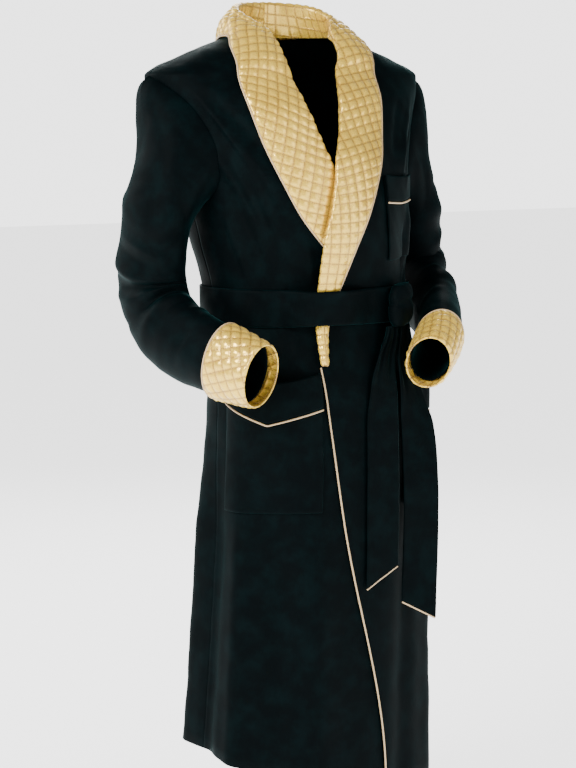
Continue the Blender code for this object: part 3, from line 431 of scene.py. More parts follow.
def mesh_of(name, points, quads, triangles, quad_grain, triangle_grain):
    """A mesh from arrays of points and faces, with the cloth's grain as its UV map."""
    mesh = bpy.data.meshes.new(name)
    mesh.from_pydata(points.tolist(), [], quads.tolist() + triangles.tolist())
    layer = mesh.uv_layers.new(name="grain")
    grain = np.concatenate((quad_grain.reshape(-1, 2), triangle_grain.reshape(-1, 2)))
    layer.data.foreach_set("uv", grain.astype(np.float32).ravel())
    mesh.validate()
    mesh.update()
    return mesh


def shell(name, outer, thickness, node_names, finish, closed=False, grain=None, ways=None):
    """A sheet of cloth with soft edges: its outer face follows a grid and its inner face lies under it."""
    rows, columns = outer.shape[:2]
    ways = grid_ways(outer, closed) if ways is None else ways
    inner = outer - thickness * ways
    middle = (outer + inner) / 2
    foot = middle[0] + unit(outer[0] - outer[1]) * thickness / 2
    head = middle[-1] + unit(outer[-1] - outer[-2]) * thickness / 2
    layers = np.concatenate((outer, head[None], inner[::-1], foot[None]))
    if grain is None:
        grain = lay_flat(outer, ways, rows // 2, closed)
    cloth = np.concatenate((grain, grain[-1:], grain[::-1], grain[:1]))
    index = np.arange(layers.shape[0] * columns).reshape(-1, columns)
    if closed:
        index = wrapped(index)
    above, cloth_above = np.roll(index, -1, axis=0), np.roll(cloth, -1, axis=0)
    quads = np.stack((index[:, :-1], index[:, 1:], above[:, 1:], above[:, :-1]), -1).reshape(-1, 4)
    quad_grain = np.stack((cloth[:, :-1], cloth[:, 1:], cloth_above[:, 1:], cloth_above[:, :-1]), -2)
    quad_grain = quad_grain.reshape(-1, 4, 2)
    points = layers.reshape(-1, 3)
    triangles, triangle_grain = np.zeros((0, 3), int), np.zeros((0, 3, 2))
    if not closed:
        for column, beside in ((0, 1), (columns - 1, columns - 2)):
            side = middle[:, column] + unit(outer[:, column] - outer[:, beside]) * thickness / 2
            mid = len(points) + np.arange(rows)
            points = np.concatenate((points, side))
            out, under = index[:rows, column], index[rows + 1:2 * rows + 1, column][::-1]
            top, low = index[rows, column], index[-1, column]
            strips = np.concatenate((np.stack((out[:-1], out[1:], mid[1:], mid[:-1]), -1),
                                     np.stack((mid[:-1], mid[1:], under[1:], under[:-1]), -1)))
            tips = np.array(((out[-1], top, mid[-1]), (top, under[-1], mid[-1]),
                             (under[0], low, mid[0]), (low, out[0], mid[0])))
            if column:
                strips, tips = strips[:, ::-1], tips[:, ::-1]
            quads = np.concatenate((quads, strips))
            triangles = np.concatenate((triangles, tips))
            edge = grain[:, column]
            strip = np.stack((edge[:-1], edge[1:], edge[1:], edge[:-1]), -2)
            strip = strip[:, ::-1] if column else strip
            quad_grain = np.concatenate((quad_grain, strip, strip))
            corner = np.stack((edge[-1], edge[-1], edge[0], edge[0]))
            triangle_grain = np.concatenate((triangle_grain, np.repeat(corner[:, None], 3, axis=1)))
    mesh = mesh_of(name, points, quads, triangles, quad_grain, triangle_grain)
    return finished(name, mesh, node_names, finish)


def even_line(points):
    """Points at even steps along a line of points, from its first to its last."""
    far = np.concatenate(([0.0], np.cumsum(np.linalg.norm(np.diff(points, axis=0), axis=1))))
    at = np.linspace(0, far[-1], max(3, round(far[-1] / CORD_STEP)) + 1)
    return np.stack([np.interp(at, far, points[:, k]) for k in range(3)], axis=-1)


def beyond(edge, beside, ways, radius, under):
    """The line of a cord that runs just beyond a sheet's edge, this far under its outer face."""
    return edge + unit(edge - beside) * (radius + PIPE_GAP) - ways * under


def cord(name, line, radius, closed=False):
    """A round cord of piping along a line of points."""
    count = len(line)
    if closed:
        ways = unit(np.roll(line, -1, axis=0) - np.roll(line, 1, axis=0))
    else:
        ways = unit(np.gradient(line, axis=0))
    side = unit(np.cross(ways[0], CORD_START))
    across = []
    for way in ways:
        side = unit(side - way * side.dot(way))
        across.append(side)
    across = np.array(across)
    other = np.cross(ways, across)
    if closed:
        slip = math.atan2(across[0].dot(other[-1]), across[0].dot(across[-1]))
        a = slip * np.arange(count)[:, None] / (count - 1)
        across, other = across * np.cos(a) + other * np.sin(a), other * np.cos(a) - across * np.sin(a)
    a = math.tau * np.arange(CORD_SIDES) / CORD_SIDES
    points = (line[:, None] + radius * (np.cos(a)[None, :, None] * across[:, None]
                                        + np.sin(a)[None, :, None] * other[:, None])).reshape(-1, 3)
    index = np.arange(count * CORD_SIDES).reshape(count, CORD_SIDES)
    if closed:
        index = np.concatenate((index, index[:1]))
    quads = ring_faces(index)
    far = np.concatenate(([0.0], np.cumsum(np.linalg.norm(np.diff(line, axis=0), axis=1))))
    far = np.concatenate((far, [far[-1] + far[1]]))[:len(index), None]
    low, high = np.arange(CORD_SIDES) / CORD_SIDES, (np.arange(CORD_SIDES) + 1) / CORD_SIDES
    corners = ((far[:-1], low), (far[:-1], high), (far[1:], high), (far[1:], low))
    quad_grain = np.stack([np.stack(np.broadcast_arrays(*corner), -1) for corner in corners], -2)
    triangles = np.zeros((0, 3), int)
    if not closed:
        tips = np.stack((line[0] - ways[0] * radius * CORD_TIP, line[-1] + ways[-1] * radius * CORD_TIP))
        first, last = (np.full(CORD_SIDES, len(points) + k) for k in range(2))
        points = np.concatenate((points, tips))
        triangles = np.concatenate((np.stack((first, np.roll(index[0], -1), index[0]), -1),
                                    np.stack((last, index[-1], np.roll(index[-1], -1)), -1)))
    mesh = mesh_of("piped_" + name, points, quads, triangles, quad_grain, np.zeros((len(triangles), 3, 2)))
    finished("piped_" + name, mesh, ["piping_" + name], "cream_gold_piping")


# Sizes and colours that a user would change


class JacketSizes(PropertyGroup):
    cell: FloatProperty(name="Quilt cell", description="Distance between two lines of stitches",
                        default=0.0155, min=0.008, max=0.040, unit="LENGTH")
    quilt_rise: FloatProperty(name="Quilt rise", description="How far each quilted cell swells",
                              default=0.0021, min=0.0, max=0.004, unit="LENGTH")
    quilt_sink: FloatProperty(name="Stitch depth", description="How far the stitches pull the satin in",
                              default=0.0007, min=0.0, max=0.002, unit="LENGTH")
    piping: FloatProperty(name="Piping radius", description="Half the thickness of the piping",
                          default=0.0014, min=0.001, max=0.004, unit="LENGTH")
    unevenness: FloatProperty(name="Unevenness", description="How far the velvet strays from a smooth face",
                              default=0.0005, min=0.0, max=0.002, unit="LENGTH")


class JacketColours(PropertyGroup):
    velvet: FloatVectorProperty(name="Velvet", description="Colour of the velvet seen straight on",
                                default=(0.0004, 0.0014, 0.0018), size=3, min=0, max=1, subtype="COLOR")
    velvet_light: FloatVectorProperty(name="Velvet, brushed", description="Colour where the pile leans away",
                                      default=(0.0007, 0.0040, 0.0046), size=3, min=0, max=1, subtype="COLOR")
    velvet_sheen: FloatVectorProperty(name="Velvet sheen", description="Colour of the light along the pile",
                                      default=(0.05, 0.34, 0.35), size=3, min=0, max=1, subtype="COLOR")
    satin: FloatVectorProperty(name="Satin", description="Colour of the quilted satin",
                               default=(0.88, 0.58, 0.07), size=3, min=0, max=1, subtype="COLOR")
    # Painted shade: the satin's colour where it is darkened in the hollows along its stitches, and a little
    # at random for its uneven tone
    satin_tone_and_painted_shade: FloatVectorProperty(name="Satin, shaded", description="Colour of the satin in its hollows",
                                     default=(0.42, 0.20, 0.014), size=3, min=0, max=1, subtype="COLOR")
    thread: FloatVectorProperty(name="Quilting thread", description="Colour of the stitches",
                                default=(0.20, 0.12, 0.04), size=3, min=0, max=1, subtype="COLOR")
    piping: FloatVectorProperty(name="Piping", description="Colour of the satin piping",
                                default=(0.56, 0.40, 0.22), size=3, min=0, max=1, subtype="COLOR")


# Finishes


def start_material(name, roughness):
    """A new material, its node tree and its shader."""
    material = bpy.data.materials.new(name)
    material.use_nodes = True
    tree = material.node_tree
    shader = tree.nodes["Principled BSDF"]
    shader.inputs["Roughness"].default_value = roughness
    return material, tree, shader


def add_node(tree, kind, **values):
    """A node with values set on its sockets, or on itself where it has no such socket."""
    node = tree.nodes.new(kind)
    for name, value in values.items():
        socket = node.inputs.get(name.replace("_", " "))
        if socket is not None:
            socket.default_value = value
        else:
            setattr(node, name, value)
    return node


def noise(tree, place, scale, detail=3.0, roughness=0.55):
    """Soft noise of a scale per metre."""
    node = add_node(tree, "ShaderNodeTexNoise", Scale=scale, Detail=detail, Roughness=roughness)
    tree.links.new(place, node.inputs["Vector"])
    return node.outputs["Fac"]


def between(tree, value, low, high, to_low=0.0, to_high=1.0):
    """A value read off a smooth step."""
    node = add_node(tree, "ShaderNodeMapRange", interpolation_type="SMOOTHSTEP")
    for socket, number in zip(("From Min", "From Max", "To Min", "To Max"), (low, high, to_low, to_high)):
        node.inputs[socket].default_value = number
    tree.links.new(value, node.inputs["Value"])
    return node.outputs["Result"]


def maths(tree, operation, a, b=0.0):
    """One sum on a value."""
    node = tree.nodes.new("ShaderNodeMath")
    node.operation = operation
    for socket, value in zip(node.inputs, (a, b)):
        if isinstance(value, float):
            socket.default_value = value
        else:
            tree.links.new(value, socket)
    return node.outputs["Value"]


def blend_colours(tree, share, one, other):
    """A colour between two."""
    node = add_node(tree, "ShaderNodeMix", data_type="RGBA")
    tree.links.new(share, node.inputs["Factor"])
    for socket, colour in ((node.inputs[6], one), (node.inputs[7], other)):
        if isinstance(colour, bpy.types.NodeSocket):
            tree.links.new(colour, socket)
        else:
            socket.default_value = (*colour, 1.0)
    return node.outputs[2]


def bump(tree, height, strength, distance, before=None):
    """A bump from a height, on top of another."""
    node = add_node(tree, "ShaderNodeBump", Strength=strength, Distance=distance)
    tree.links.new(height, node.inputs["Height"])
    if before is not None:
        tree.links.new(before, node.inputs["Normal"])
    return node.outputs["Normal"]


def make_velvet(name, colours):
    """Deep pile: nearly black straight on, with a bottle-green light along the folds."""
    material, tree, shader = start_material(name, 0.62)
    place = tree.nodes.new("ShaderNodeTexCoord").outputs["Object"]
    brushed = noise(tree, place, 34.0, 4.0, 0.6)
    patches = between(tree, brushed, 0.38, 0.74)
    pile = noise(tree, place, 1500.0, 2.0, 0.7)
    colour = blend_colours(tree, patches, tuple(colours.velvet), tuple(colours.velvet_light))
    tips = between(tree, pile, 0.35, 0.75, 0.0, 0.35)
    colour = blend_colours(tree, tips, colour, tuple(colours.velvet_light))
    tree.links.new(colour, shader.inputs["Base Color"])
    shader.inputs["Specular IOR Level"].default_value = 0.03
    shader.inputs["Sheen Weight"].default_value = 0.12
    shader.inputs["Sheen Roughness"].default_value = 0.30
    shader.inputs["Sheen Tint"].default_value = (*colours.velvet_sheen, 1.0)
    crushed = bump(tree, brushed, 0.20, 0.0016)
    tree.links.new(bump(tree, pile, 0.35, 0.0004, crushed), shader.inputs["Normal"])
    return material


def make_satin(name, colours):
    """Quilted satin: stitches along the grain's cells, puckers that run from them, painted shade in the
    hollows along the stitches and a silky gloss.
    """
    material, tree, shader = start_material(name, 0.33)
    coordinates = tree.nodes.new("ShaderNodeTexCoord")
    place, grain = coordinates.outputs["Object"], coordinates.outputs["UV"]
    cells = tree.nodes.new("ShaderNodeSeparateXYZ")
    tree.links.new(grain, cells.inputs[0])
    lines, dashes = [], []
    for along, across in ((cells.outputs["X"], cells.outputs["Y"]), (cells.outputs["Y"], cells.outputs["X"])):
        away = maths(tree, "PINGPONG", along, 0.5)
        line = between(tree, away, 0.012, 0.036, 1.0, 0.0)
        dash = maths(tree, "PINGPONG", maths(tree, "MULTIPLY", across, 5.0), 0.5)
        lines.append(between(tree, away, 0.0, 0.22, 1.0, 0.0))
        dashes.append(maths(tree, "MULTIPLY", line, between(tree, dash, 0.12, 0.22)))
    stitches = maths(tree, "MAXIMUM", *dashes)
    hollows = maths(tree, "MAXIMUM", *lines)
    crimp = noise(tree, place, 260.0, 3.0, 0.6)
    tint = noise(tree, place, 22.0, 2.0)
    # Painted shade: the satin darkens in the hollows along the stitch lines, and the noise adds a random
    # unevenness of tone on top
    shade = maths(tree, "MULTIPLY", hollows, 0.55)
    shade = maths(tree, "ADD", shade, between(tree, tint, 0.45, 0.75, 0.0, 0.18))
    colour = blend_colours(tree, shade, tuple(colours.satin), tuple(colours.satin_tone_and_painted_shade))
    colour = blend_colours(tree, stitches, colour, tuple(colours.thread))
    tree.links.new(colour, shader.inputs["Base Color"])
    gloss = between(tree, crimp, 0.3, 0.7, 0.20, 0.31)
    tree.links.new(gloss, shader.inputs["Roughness"])
    shader.inputs["Metallic"].default_value = 0.35
    shader.inputs["Specular IOR Level"].default_value = 0.7
    shader.inputs["Sheen Weight"].default_value = 0.15
    shader.inputs["Sheen Roughness"].default_value = 0.4
    puckers = maths(tree, "MULTIPLY", crimp, maths(tree, "ADD", hollows, 0.25))
    soft = bump(tree, puckers, 0.55, 0.0010)
    threads = bump(tree, noise(tree, place, 1900.0, 1.0), 0.12, 0.0002, soft)
    tree.links.new(bump(tree, stitches, 0.6, 0.0003, threads), shader.inputs["Normal"])
    return material


def make_piping(name, colours):
    """Satin drawn tight over a cord, with the slanting folds of its bias cut and painted shade in their
    grooves.
    """
    material, tree, shader = start_material(name, 0.38)
    coordinates = tree.nodes.new("ShaderNodeTexCoord")
    parts = tree.nodes.new("ShaderNodeSeparateXYZ")
    tree.links.new(coordinates.outputs["UV"], parts.inputs[0])
    slant = maths(tree, "ADD", maths(tree, "MULTIPLY", parts.outputs["X"], 260.0), parts.outputs["Y"])
    ridge = maths(tree, "PINGPONG", slant, 0.5)
    tint = noise(tree, coordinates.outputs["Object"], 45.0)
    # Painted shade: a darker copy of the piping's colour laid along the grooves of the slanting folds, its
    # strength made uneven by the noise
    painted_fold_shade = tuple(0.72 * channel for channel in colours.piping)
    shade = maths(tree, "MULTIPLY", between(tree, ridge, 0.0, 0.25, 0.6, 0.0), between(tree, tint, 0.3, 0.7))
    tree.links.new(blend_colours(tree, shade, tuple(colours.piping), painted_fold_shade), shader.inputs["Base Color"])
    tree.links.new(bump(tree, ridge, 0.5, 0.0005), shader.inputs["Normal"])
    return material


FINISHES = {
    "green_black_velvet": make_velvet,
    "gold_satin": make_satin,
    "cream_gold_piping": make_piping,
}


def cloth_material(finish):
    """The finish of a slot, made once."""
    return bpy.data.materials.get(finish + "_cloth") or FINISHES[finish](
        finish + "_cloth", bpy.context.scene.jacket_colours)


# The size that each sheet was cut to
FLAT = {
    "back": (0.66, 1.19),
    "front": (0.42, 1.20),
    "sleeve": (0.42, 0.62),
    "cuff": (0.30, 0.085),
    "collar": (0.16, 0.72),
    "hip_pocket": (0.17, 0.22),
    "breast_pocket": (0.10, 0.13),
    "belt": (1.0, 0.056),
    "tail": (0.056, 0.47),
}


def velvet_sheet(name, grid, wall, waves, depth, flat, *below, closed=False, ways=None, calm=1.0):
    """A sheet of velvet, which strays from its grid in waves. Gives the grid that it follows."""
    ways = grid_ways(grid, closed) if ways is None else ways
    grid = grid + (calm * uneven(grid, waves, depth))[..., None] * ways
    piece = shell("velvet_" + name, grid, wall, [name], "green_black_velvet", closed=closed, ways=ways)
    return grid, ways


def satin_sheet(name, grid, ways, line, grain, calm, sizes, flat, *below, closed=False):
    """A sheet of satin that swells in quilted cells, and lies smooth where calm is 0."""
    cells = turned(lay_flat(grid, ways, line, closed), grain, sizes.cell)
    rise = calm * puff(cells[:, :grid.shape[1]], sizes.quilt_rise, sizes.quilt_sink)
    piece = shell("satin_" + name, grid + rise[..., None] * ways, SATIN, [name], "gold_satin",
                  closed=closed, grain=cells, ways=ways)


# Panels

# Heights of a panel's rows below, beside and above the armhole. Each step is cut into equal parts.
PANEL_ROWS = (-1.125, -1.020, -0.915, -0.820, -0.735, -0.655, -0.585, -0.540, -0.503, -0.470, -0.440,
              -0.410, -0.380, -0.340, -0.300)
ARMHOLE_ROWS = (-0.262, -0.257, -0.243, -0.220, -0.192, -0.163, -0.134, -0.107, -0.086, -0.072, -0.065)
SHOULDER_ROWS = (-0.053, -0.036, -0.018, 0.0)

# How far a panel stops short of its side line, and the angle that gives a front edge its heights
SEAM_ANGLE = 0.05
EDGE_ANGLE = -80.0

# How much lower the hem hangs on the left side and how much higher at the back, and the height above
# which a row is level again. The neck's dip at the back starts at the last height.
HEM_LEFT = -0.030
HEM_BACK = 0.020
HEM_LEVEL = -0.80
NAPE_FROM = -0.03

# Parts of each step between rows, columns, and the size of the waves
ROWS_BETWEEN = 6
BACK_COLUMNS = 150
FRONT_COLUMNS = 100
PANEL_WAVES = 0.045


def lowered(row, angle):
    """The height of a panel's row, which dips to the hem's slant below and to the neck's dip above."""
    a = np.radians(angle)
    hem = HEM_LEFT * np.cos(a) + HEM_BACK * np.sin(a)
    nape = NECK_DROP * np.maximum(0.0, np.sin(a)) ** 2
    return row + hem * (1 - ease(row, LOWEST_HEM, HEM_LEVEL)) - nape * ease(row, NAPE_FROM, 0.0)


def side_angle(row, which):
    """How far round from the side line a panel ends at a row."""
    inside = (row > UNDERARM) & (row < SHOULDER_TIP)
    return SEAM_ANGLE + np.where(inside, read(ARMHOLE, which, row), 0.0)


def front_edge(row, side):
    """The angle of a front's free edge: side is 1 on the left and -1 on the right."""
    height = lowered(row, EDGE_ANGLE)
    return front_angle(height, side * read(FRONT_EDGE, "left" if side > 0 else "right", height))


def panel(first, last, columns, over):
    """A panel's outer points between two edges, which are angles that depend on the row."""
    rows = spread(PANEL_ROWS + ARMHOLE_ROWS + SHOULDER_ROWS, ROWS_BETWEEN)[:, None]
    share = np.linspace(0, 1, columns)[None]
    start, end = first(rows), last(rows)
    angle = start + (end - start) * share
    height = lowered(rows, angle)
    return body(height, angle, over(height, angle)), normal(height, angle)


def build_panels(sizes):
    """The back and the two fronts."""
    cuts = (
        ("back", BACK_COLUMNS, lambda row: side_angle(row, "back"),
         lambda row: 180 - side_angle(row, "back"), flat_on, FLAT["back"], "collar_right"),
        ("front_left", FRONT_COLUMNS, lambda row: front_edge(row, 1),
         lambda row: -side_angle(row, "front"), lap, FLAT["front"], "back"),
        ("front_right", FRONT_COLUMNS, lambda row: side_angle(row, "front") - 180,
         lambda row: front_edge(row, -1), flat_on, FLAT["front"], "back"),
    )
    for name, columns, first, last, over, flat, name_below in cuts:
        points, ways = panel(first, last, columns, over)
        velvet_sheet(name, points, VELVET, PANEL_WAVES, sizes.unevenness, flat, name_below, ways=ways)


# Sleeves and cuffs

# The sleeves' middle lines: how far out, along and up they lie, and half the sleeve's size from front
# to back (wide) and from the side outwards (thick). Each starts below the shoulder and ends at the cuff.
Arm = namedtuple("Arm", "x y z wide thick")
ARM_RIGHT = (
    Arm(0.203, 0.006, -0.150, 0.063, 0.042),
    Arm(0.222, -0.004, -0.205, 0.064, 0.044),
    Arm(0.234, 0.000, -0.262, 0.065, 0.046),
    Arm(0.234, 0.018, -0.320, 0.067, 0.047),
    Arm(0.229, 0.030, -0.375, 0.067, 0.047),
    Arm(0.226, 0.010, -0.425, 0.065, 0.046),
    Arm(0.221, -0.045, -0.458, 0.061, 0.044),
    Arm(0.205, -0.118, -0.480, 0.055, 0.040),
    Arm(0.176, -0.202, -0.502, 0.046, 0.036),
)
ARM_LEFT = (
    Arm(0.199, 0.006, -0.150, 0.062, 0.042),
    Arm(0.208, 0.004, -0.205, 0.062, 0.043),
    Arm(0.227, 0.010, -0.262, 0.062, 0.044),
    Arm(0.243, 0.022, -0.320, 0.062, 0.045),
    Arm(0.250, 0.030, -0.366, 0.062, 0.045),
    Arm(0.244, -0.005, -0.402, 0.060, 0.042),
    Arm(0.221, -0.080, -0.436, 0.054, 0.037),
    Arm(0.168, -0.168, -0.462, 0.047, 0.032),
    Arm(0.106, -0.226, -0.496, 0.043, 0.031),
)

# A sleeve's head, from the armhole to the sleeve's own rings: its rows, the shares of the sleeve's length
# at which those rings begin outside and under, how far it leans down as it leaves the armhole, how
# strongly it keeps its way at the armhole and at the rings, and a step along the sleeve
HEAD_ROWS = 36
HEAD_OUTSIDE = 0.10
HEAD_UNDER = 0.34
HEAD_LEAN = -0.25
HEAD_START = 0.35
HEAD_FULL = 0.50
HEAD_STOP = 0.90
HEAD_STEP = 0.03

# The sleeve: its rows, columns and last share of the length, the size of its waves and the rows at each
# end that they fade over, the share over which the small creases start, a step along the middle line,
# and the gaps to the armhole at the shoulder and under the arm
SLEEVE_ROWS = 130
SLEEVE_COLUMNS = 120
SLEEVE_TO = 0.965
SLEEVE_WAVES = 0.040
SLEEVE_CALM_END = 8
SLEEVE_CALM_HEAD = 14
SMALL_FROM = 0.08
ARM_STEP = 0.04
SLEEVE_GAP = 0.0005
UNDERARM_GAP = 0.0014

# The cuff: its length, columns and rows, its clearance over the sleeve, how far it opens upwards, the
# rows at each edge that stay smooth, and the way of its quilting in degrees
CUFF_LENGTH = 0.072
CUFF_COLUMNS = 190
CUFF_ROWS = 60
CUFF_CLEAR = 0.0003
CUFF_FLARE = 0.003
CUFF_CALM = 5
CUFF_GRAIN = 0

# Creases of a sleeve: the share of its length, the place round it (0 outside, 90 front), how far the
# crease slants along per turn, how deep, and how wide along and round.
Crease = namedtuple("Crease", "along round slant depth length spread")
CREASES = (
    Crease(0.40, 20, 0.10, -0.0050, 0.026, 50),
    Crease(0.46, 15, 0.10, 0.0060, 0.029, 60),
    Crease(0.52, 25, 0.12, -0.0060, 0.026, 60),
    Crease(0.58, 40, 0.12, 0.0055, 0.027, 60),
    Crease(0.64, 50, 0.10, -0.0060, 0.026, 60),
    Crease(0.70, 40, 0.08, 0.0050, 0.026, 60),
    Crease(0.27, 60, -0.15, 0.0045, 0.032, 45),
    Crease(0.33, 75, -0.15, -0.0040, 0.032, 45),
    Crease(0.25, 300, 0.15, 0.0045, 0.032, 45),
    Crease(0.32, 290, 0.15, -0.0040, 0.032, 45),
)
SMALL_CREASES = (
    Crease(0.43, 60, 0.16, 0.0022, 0.011, 40),
    Crease(0.49, 70, 0.18, -0.0024, 0.011, 42),
    Crease(0.55, 80, 0.18, 0.0026, 0.011, 42),
    Crease(0.61, 85, 0.16, -0.0026, 0.011, 40),
    Crease(0.67, 80, 0.12, 0.0024, 0.011, 40),
    Crease(0.73, 60, 0.10, -0.0020, 0.012, 45),
    Crease(0.36, 40, 0.10, 0.0018, 0.012, 40),
    Crease(0.47, 330, 0.10, -0.0022, 0.012, 40),
    Crease(0.53, 320, 0.10, 0.0022, 0.012, 40),
    Crease(0.60, 310, 0.08, -0.0020, 0.012, 40),
    Crease(0.20, 40, -0.20, -0.0018, 0.013, 36),
    Crease(0.15, 80, -0.20, 0.0018, 0.013, 36),
    Crease(0.79, 120, 0.10, 0.0018, 0.010, 40),
    Crease(0.82, 20, 0.12, -0.0018, 0.010, 40),
)


def creased(creases, t, round_arm):
    """How far a sleeve's creases push its cloth out."""
    out = 0.0
    for crease in creases:
        apart = turn(round_arm - crease.round)
        along = (t - crease.along - crease.slant * apart / 360) / crease.length
        out = out + crease.depth * np.exp(-np.minimum(along * along, 40) - (apart / crease.spread) ** 2)
    return out


def arm_line(side, arm):
    """The points of an arm's middle line."""
    return np.array([(side * row.x, row.y, row.z) for row in arm])


def arm_point(side, arm, t, round_arm, extra=0.0):
    """Points round an arm at shares of its length; 0 is its outer side and 90 its front."""
    line = arm_line(side, arm)
    sizes = np.array([(row.wide, row.thick) for row in arm])
    t, round_arm = np.broadcast_arrays(np.asarray(t, float), np.asarray(round_arm, float))
    centre = curve_point(line, t)
    way = unit(curve_point(line, t + ARM_STEP) - curve_point(line, t - ARM_STEP))
    size = curve_point(sizes, t)
    outside = np.array((side, 0.0, 0.0))
    outside = unit(outside - way * (way @ outside)[..., None])
    front = -side * np.cross(outside, way)
    a = np.radians(round_arm)
    extra = extra + creased(CREASES, t, round_arm)
    wide, thick = size[..., 0] + extra, size[..., 1] + extra
    return centre + outside * (thick * np.cos(a))[..., None] + front * (wide * np.sin(a))[..., None]


def armhole_ring(side, count):
    """The armhole's edge from the shoulder tip down the front and up the back, with its ways out."""
    rows = ARMHOLE_ROWS[::-1] + ARMHOLE_ROWS[1:]
    place = (len(rows) - 1) * np.arange(count) / count
    height = np.interp(place, np.arange(len(rows)), rows)
    front = place < len(ARMHOLE_ROWS) - 1
    away = np.where(front, -side_angle(height, "front"), side_angle(height, "back"))
    angle = away if side > 0 else 180 - away
    return body(height, angle), normal(height, angle)


def sleeve_points(side, arm):
    """A sleeve's outer points and ways out, from its open end up to the armhole."""
    edge, edge_ways = armhole_ring(side, SLEEVE_COLUMNS)
    outward = unit(np.array((side, 0, HEAD_LEAN)))
    turn_share = np.arange(SLEEVE_COLUMNS) / SLEEVE_COLUMNS
    round_arm = 360 * turn_share
    cap = 0.5 + 0.5 * np.cos(math.tau * turn_share)
    begin = HEAD_OUTSIDE + (HEAD_UNDER - HEAD_OUTSIDE) * (1 - cap)
    a = edge + outward * (SLEEVE_GAP + (UNDERARM_GAP - SLEEVE_GAP) * (1 - cap))[:, None]
    b = arm_point(side, arm, begin, round_arm)
    ahead = arm_point(side, arm, begin + HEAD_STEP, round_arm)
    far = np.linalg.norm(b - a, axis=1)
    start = outward * (far * (HEAD_START + HEAD_FULL * cap))[:, None]
    stop = unit(ahead - b) * (far * HEAD_STOP)[:, None]
    t = (np.arange(HEAD_ROWS) / HEAD_ROWS)[:, None, None]
    head = ((2 * t ** 3 - 3 * t * t + 1) * a + (t ** 3 - 2 * t * t + t) * start
            + (3 * t * t - 2 * t ** 3) * b + (t ** 3 - t * t) * stop)
    down = np.linspace(0, 1, SLEEVE_ROWS + 1)[:, None]
    share = begin + (SLEEVE_TO - begin) * down
    small = ease(down, 0.0, SMALL_FROM) * creased(SMALL_CREASES, share, round_arm)
    grid = np.concatenate((head, arm_point(side, arm, share, round_arm, small)))[::-1]
    if side > 0:
        grid, edge_ways = grid[:, ::-1], edge_ways[::-1]
    ways = grid_ways(grid, closed=True)
    ways[-1] = edge_ways
    return grid, ways


def cuff_start(side, arm):
    """The share of the arm's length where its cuff begins."""
    shares = np.linspace(1.0, 0.5, 251)
    line = curve_point(arm_line(side, arm), shares)
    return shares[np.argmax(np.linalg.norm(line - line[0], axis=1) >= CUFF_LENGTH)]


def cuff_points(side, arm):
    """A cuff's outer points, from its open end up."""
    up = np.linspace(0, 1, CUFF_ROWS + 1)[:, None]
    share = 1.0 - up * (1.0 - cuff_start(side, arm))
    round_arm = 360 * np.arange(CUFF_COLUMNS)[None] / CUFF_COLUMNS + 180
    grid = arm_point(side, arm, share, round_arm, CUFF_CLEAR + SATIN + CUFF_FLARE * up)
    return grid if side < 0 else grid[:, ::-1]


def build_sleeves(sizes):
    """The two velvet sleeves, set in at the armholes."""
    for side, name, arm in ((-1, "right", ARM_RIGHT), (1, "left", ARM_LEFT)):
        grid, ways = sleeve_points(side, arm)
        row, last = np.arange(len(grid)), len(grid)
        calm = np.minimum(ease(row, 0, SLEEVE_CALM_END), 1 - ease(row, last - SLEEVE_CALM_HEAD, last))
        velvet_sheet("sleeve_" + name, grid, VELVET, SLEEVE_WAVES, sizes.unevenness, FLAT["sleeve"],
                     "front_" + name, "back", closed=True, ways=ways, calm=calm[:, None])


def build_cuffs(sizes):
    """The two turned-back cuffs of quilted satin, each with piping along its upper edge."""
    for side, name, arm in ((-1, "right", ARM_RIGHT), (1, "left", ARM_LEFT)):
        grid = cuff_points(side, arm)
        ways = grid_ways(grid, closed=True)
        row, last = np.arange(len(grid))[:, None], len(grid) - 1
        calm = np.minimum(ease(row, 0, CUFF_CALM), 1 - ease(row, last - CUFF_CALM, last))
        satin_sheet("cuff_" + name, grid, ways, 0, side * CUFF_GRAIN, calm, sizes, FLAT["cuff"],
                    "velvet_sleeve_" + name, closed=True)
        line = beyond(grid[-1], grid[-2], ways[-1], sizes.piping, SATIN / 3)
        cord("cuff_" + name, line, sizes.piping, closed=True)


# Collar

# Rows over the fall, round the fold and under it, the edge rows that stay smooth, a step along the
# collar's lines, and the columns
FALL_ROWS = 46
FOLD_ROWS = 9
LIP_ROWS = 3
COLLAR_CALM = 4
TRACK_STEP = 0.01
COLLAR_COLUMNS = 300

# The fold's radius at the neck and where the collar lies flat, how far out its edge lies, how high it
# arches over the left front and over the right one, the height whose ring its stand follows and the
# height where the stand ends, its lip's reach and start, the gaps under lip and stand, how far the flat
# roll rests off the front, the width under which the arch is lower, and the least arches
FOLD_RADIUS = 0.0060
FLAT_RADIUS = 0.0034
EDGE_OUT = 0.0056
LIFT = 0.0085
UNDER_LIFT = 0.0060
STAND_RING = 0.006
STAND_FOOT = -0.006
LIP = 0.013
LIP_START = 0.003
LIP_UNDER = 0.0028
STAND_UNDER = 0.0008
LYING_REST = 0.0016
NARROW = 0.05
BRIDGE_FRONT = 0.003
BRIDGE_NECK = 0.007

# Heights of the roll line between which the collar comes to wrap round its fold, its lip grows to its
# full reach and its cover lifts off the front, and from which it leaves the lap, bridges the neck and
# stands on its foot
WRAPS = (-0.25, -0.18)
REACHES = (-0.19, -0.13)
LIFTS = (-0.25, -0.20)
LAP_TOP = -0.1
NECK_FROM = -0.05
STAND_FROM = -0.01

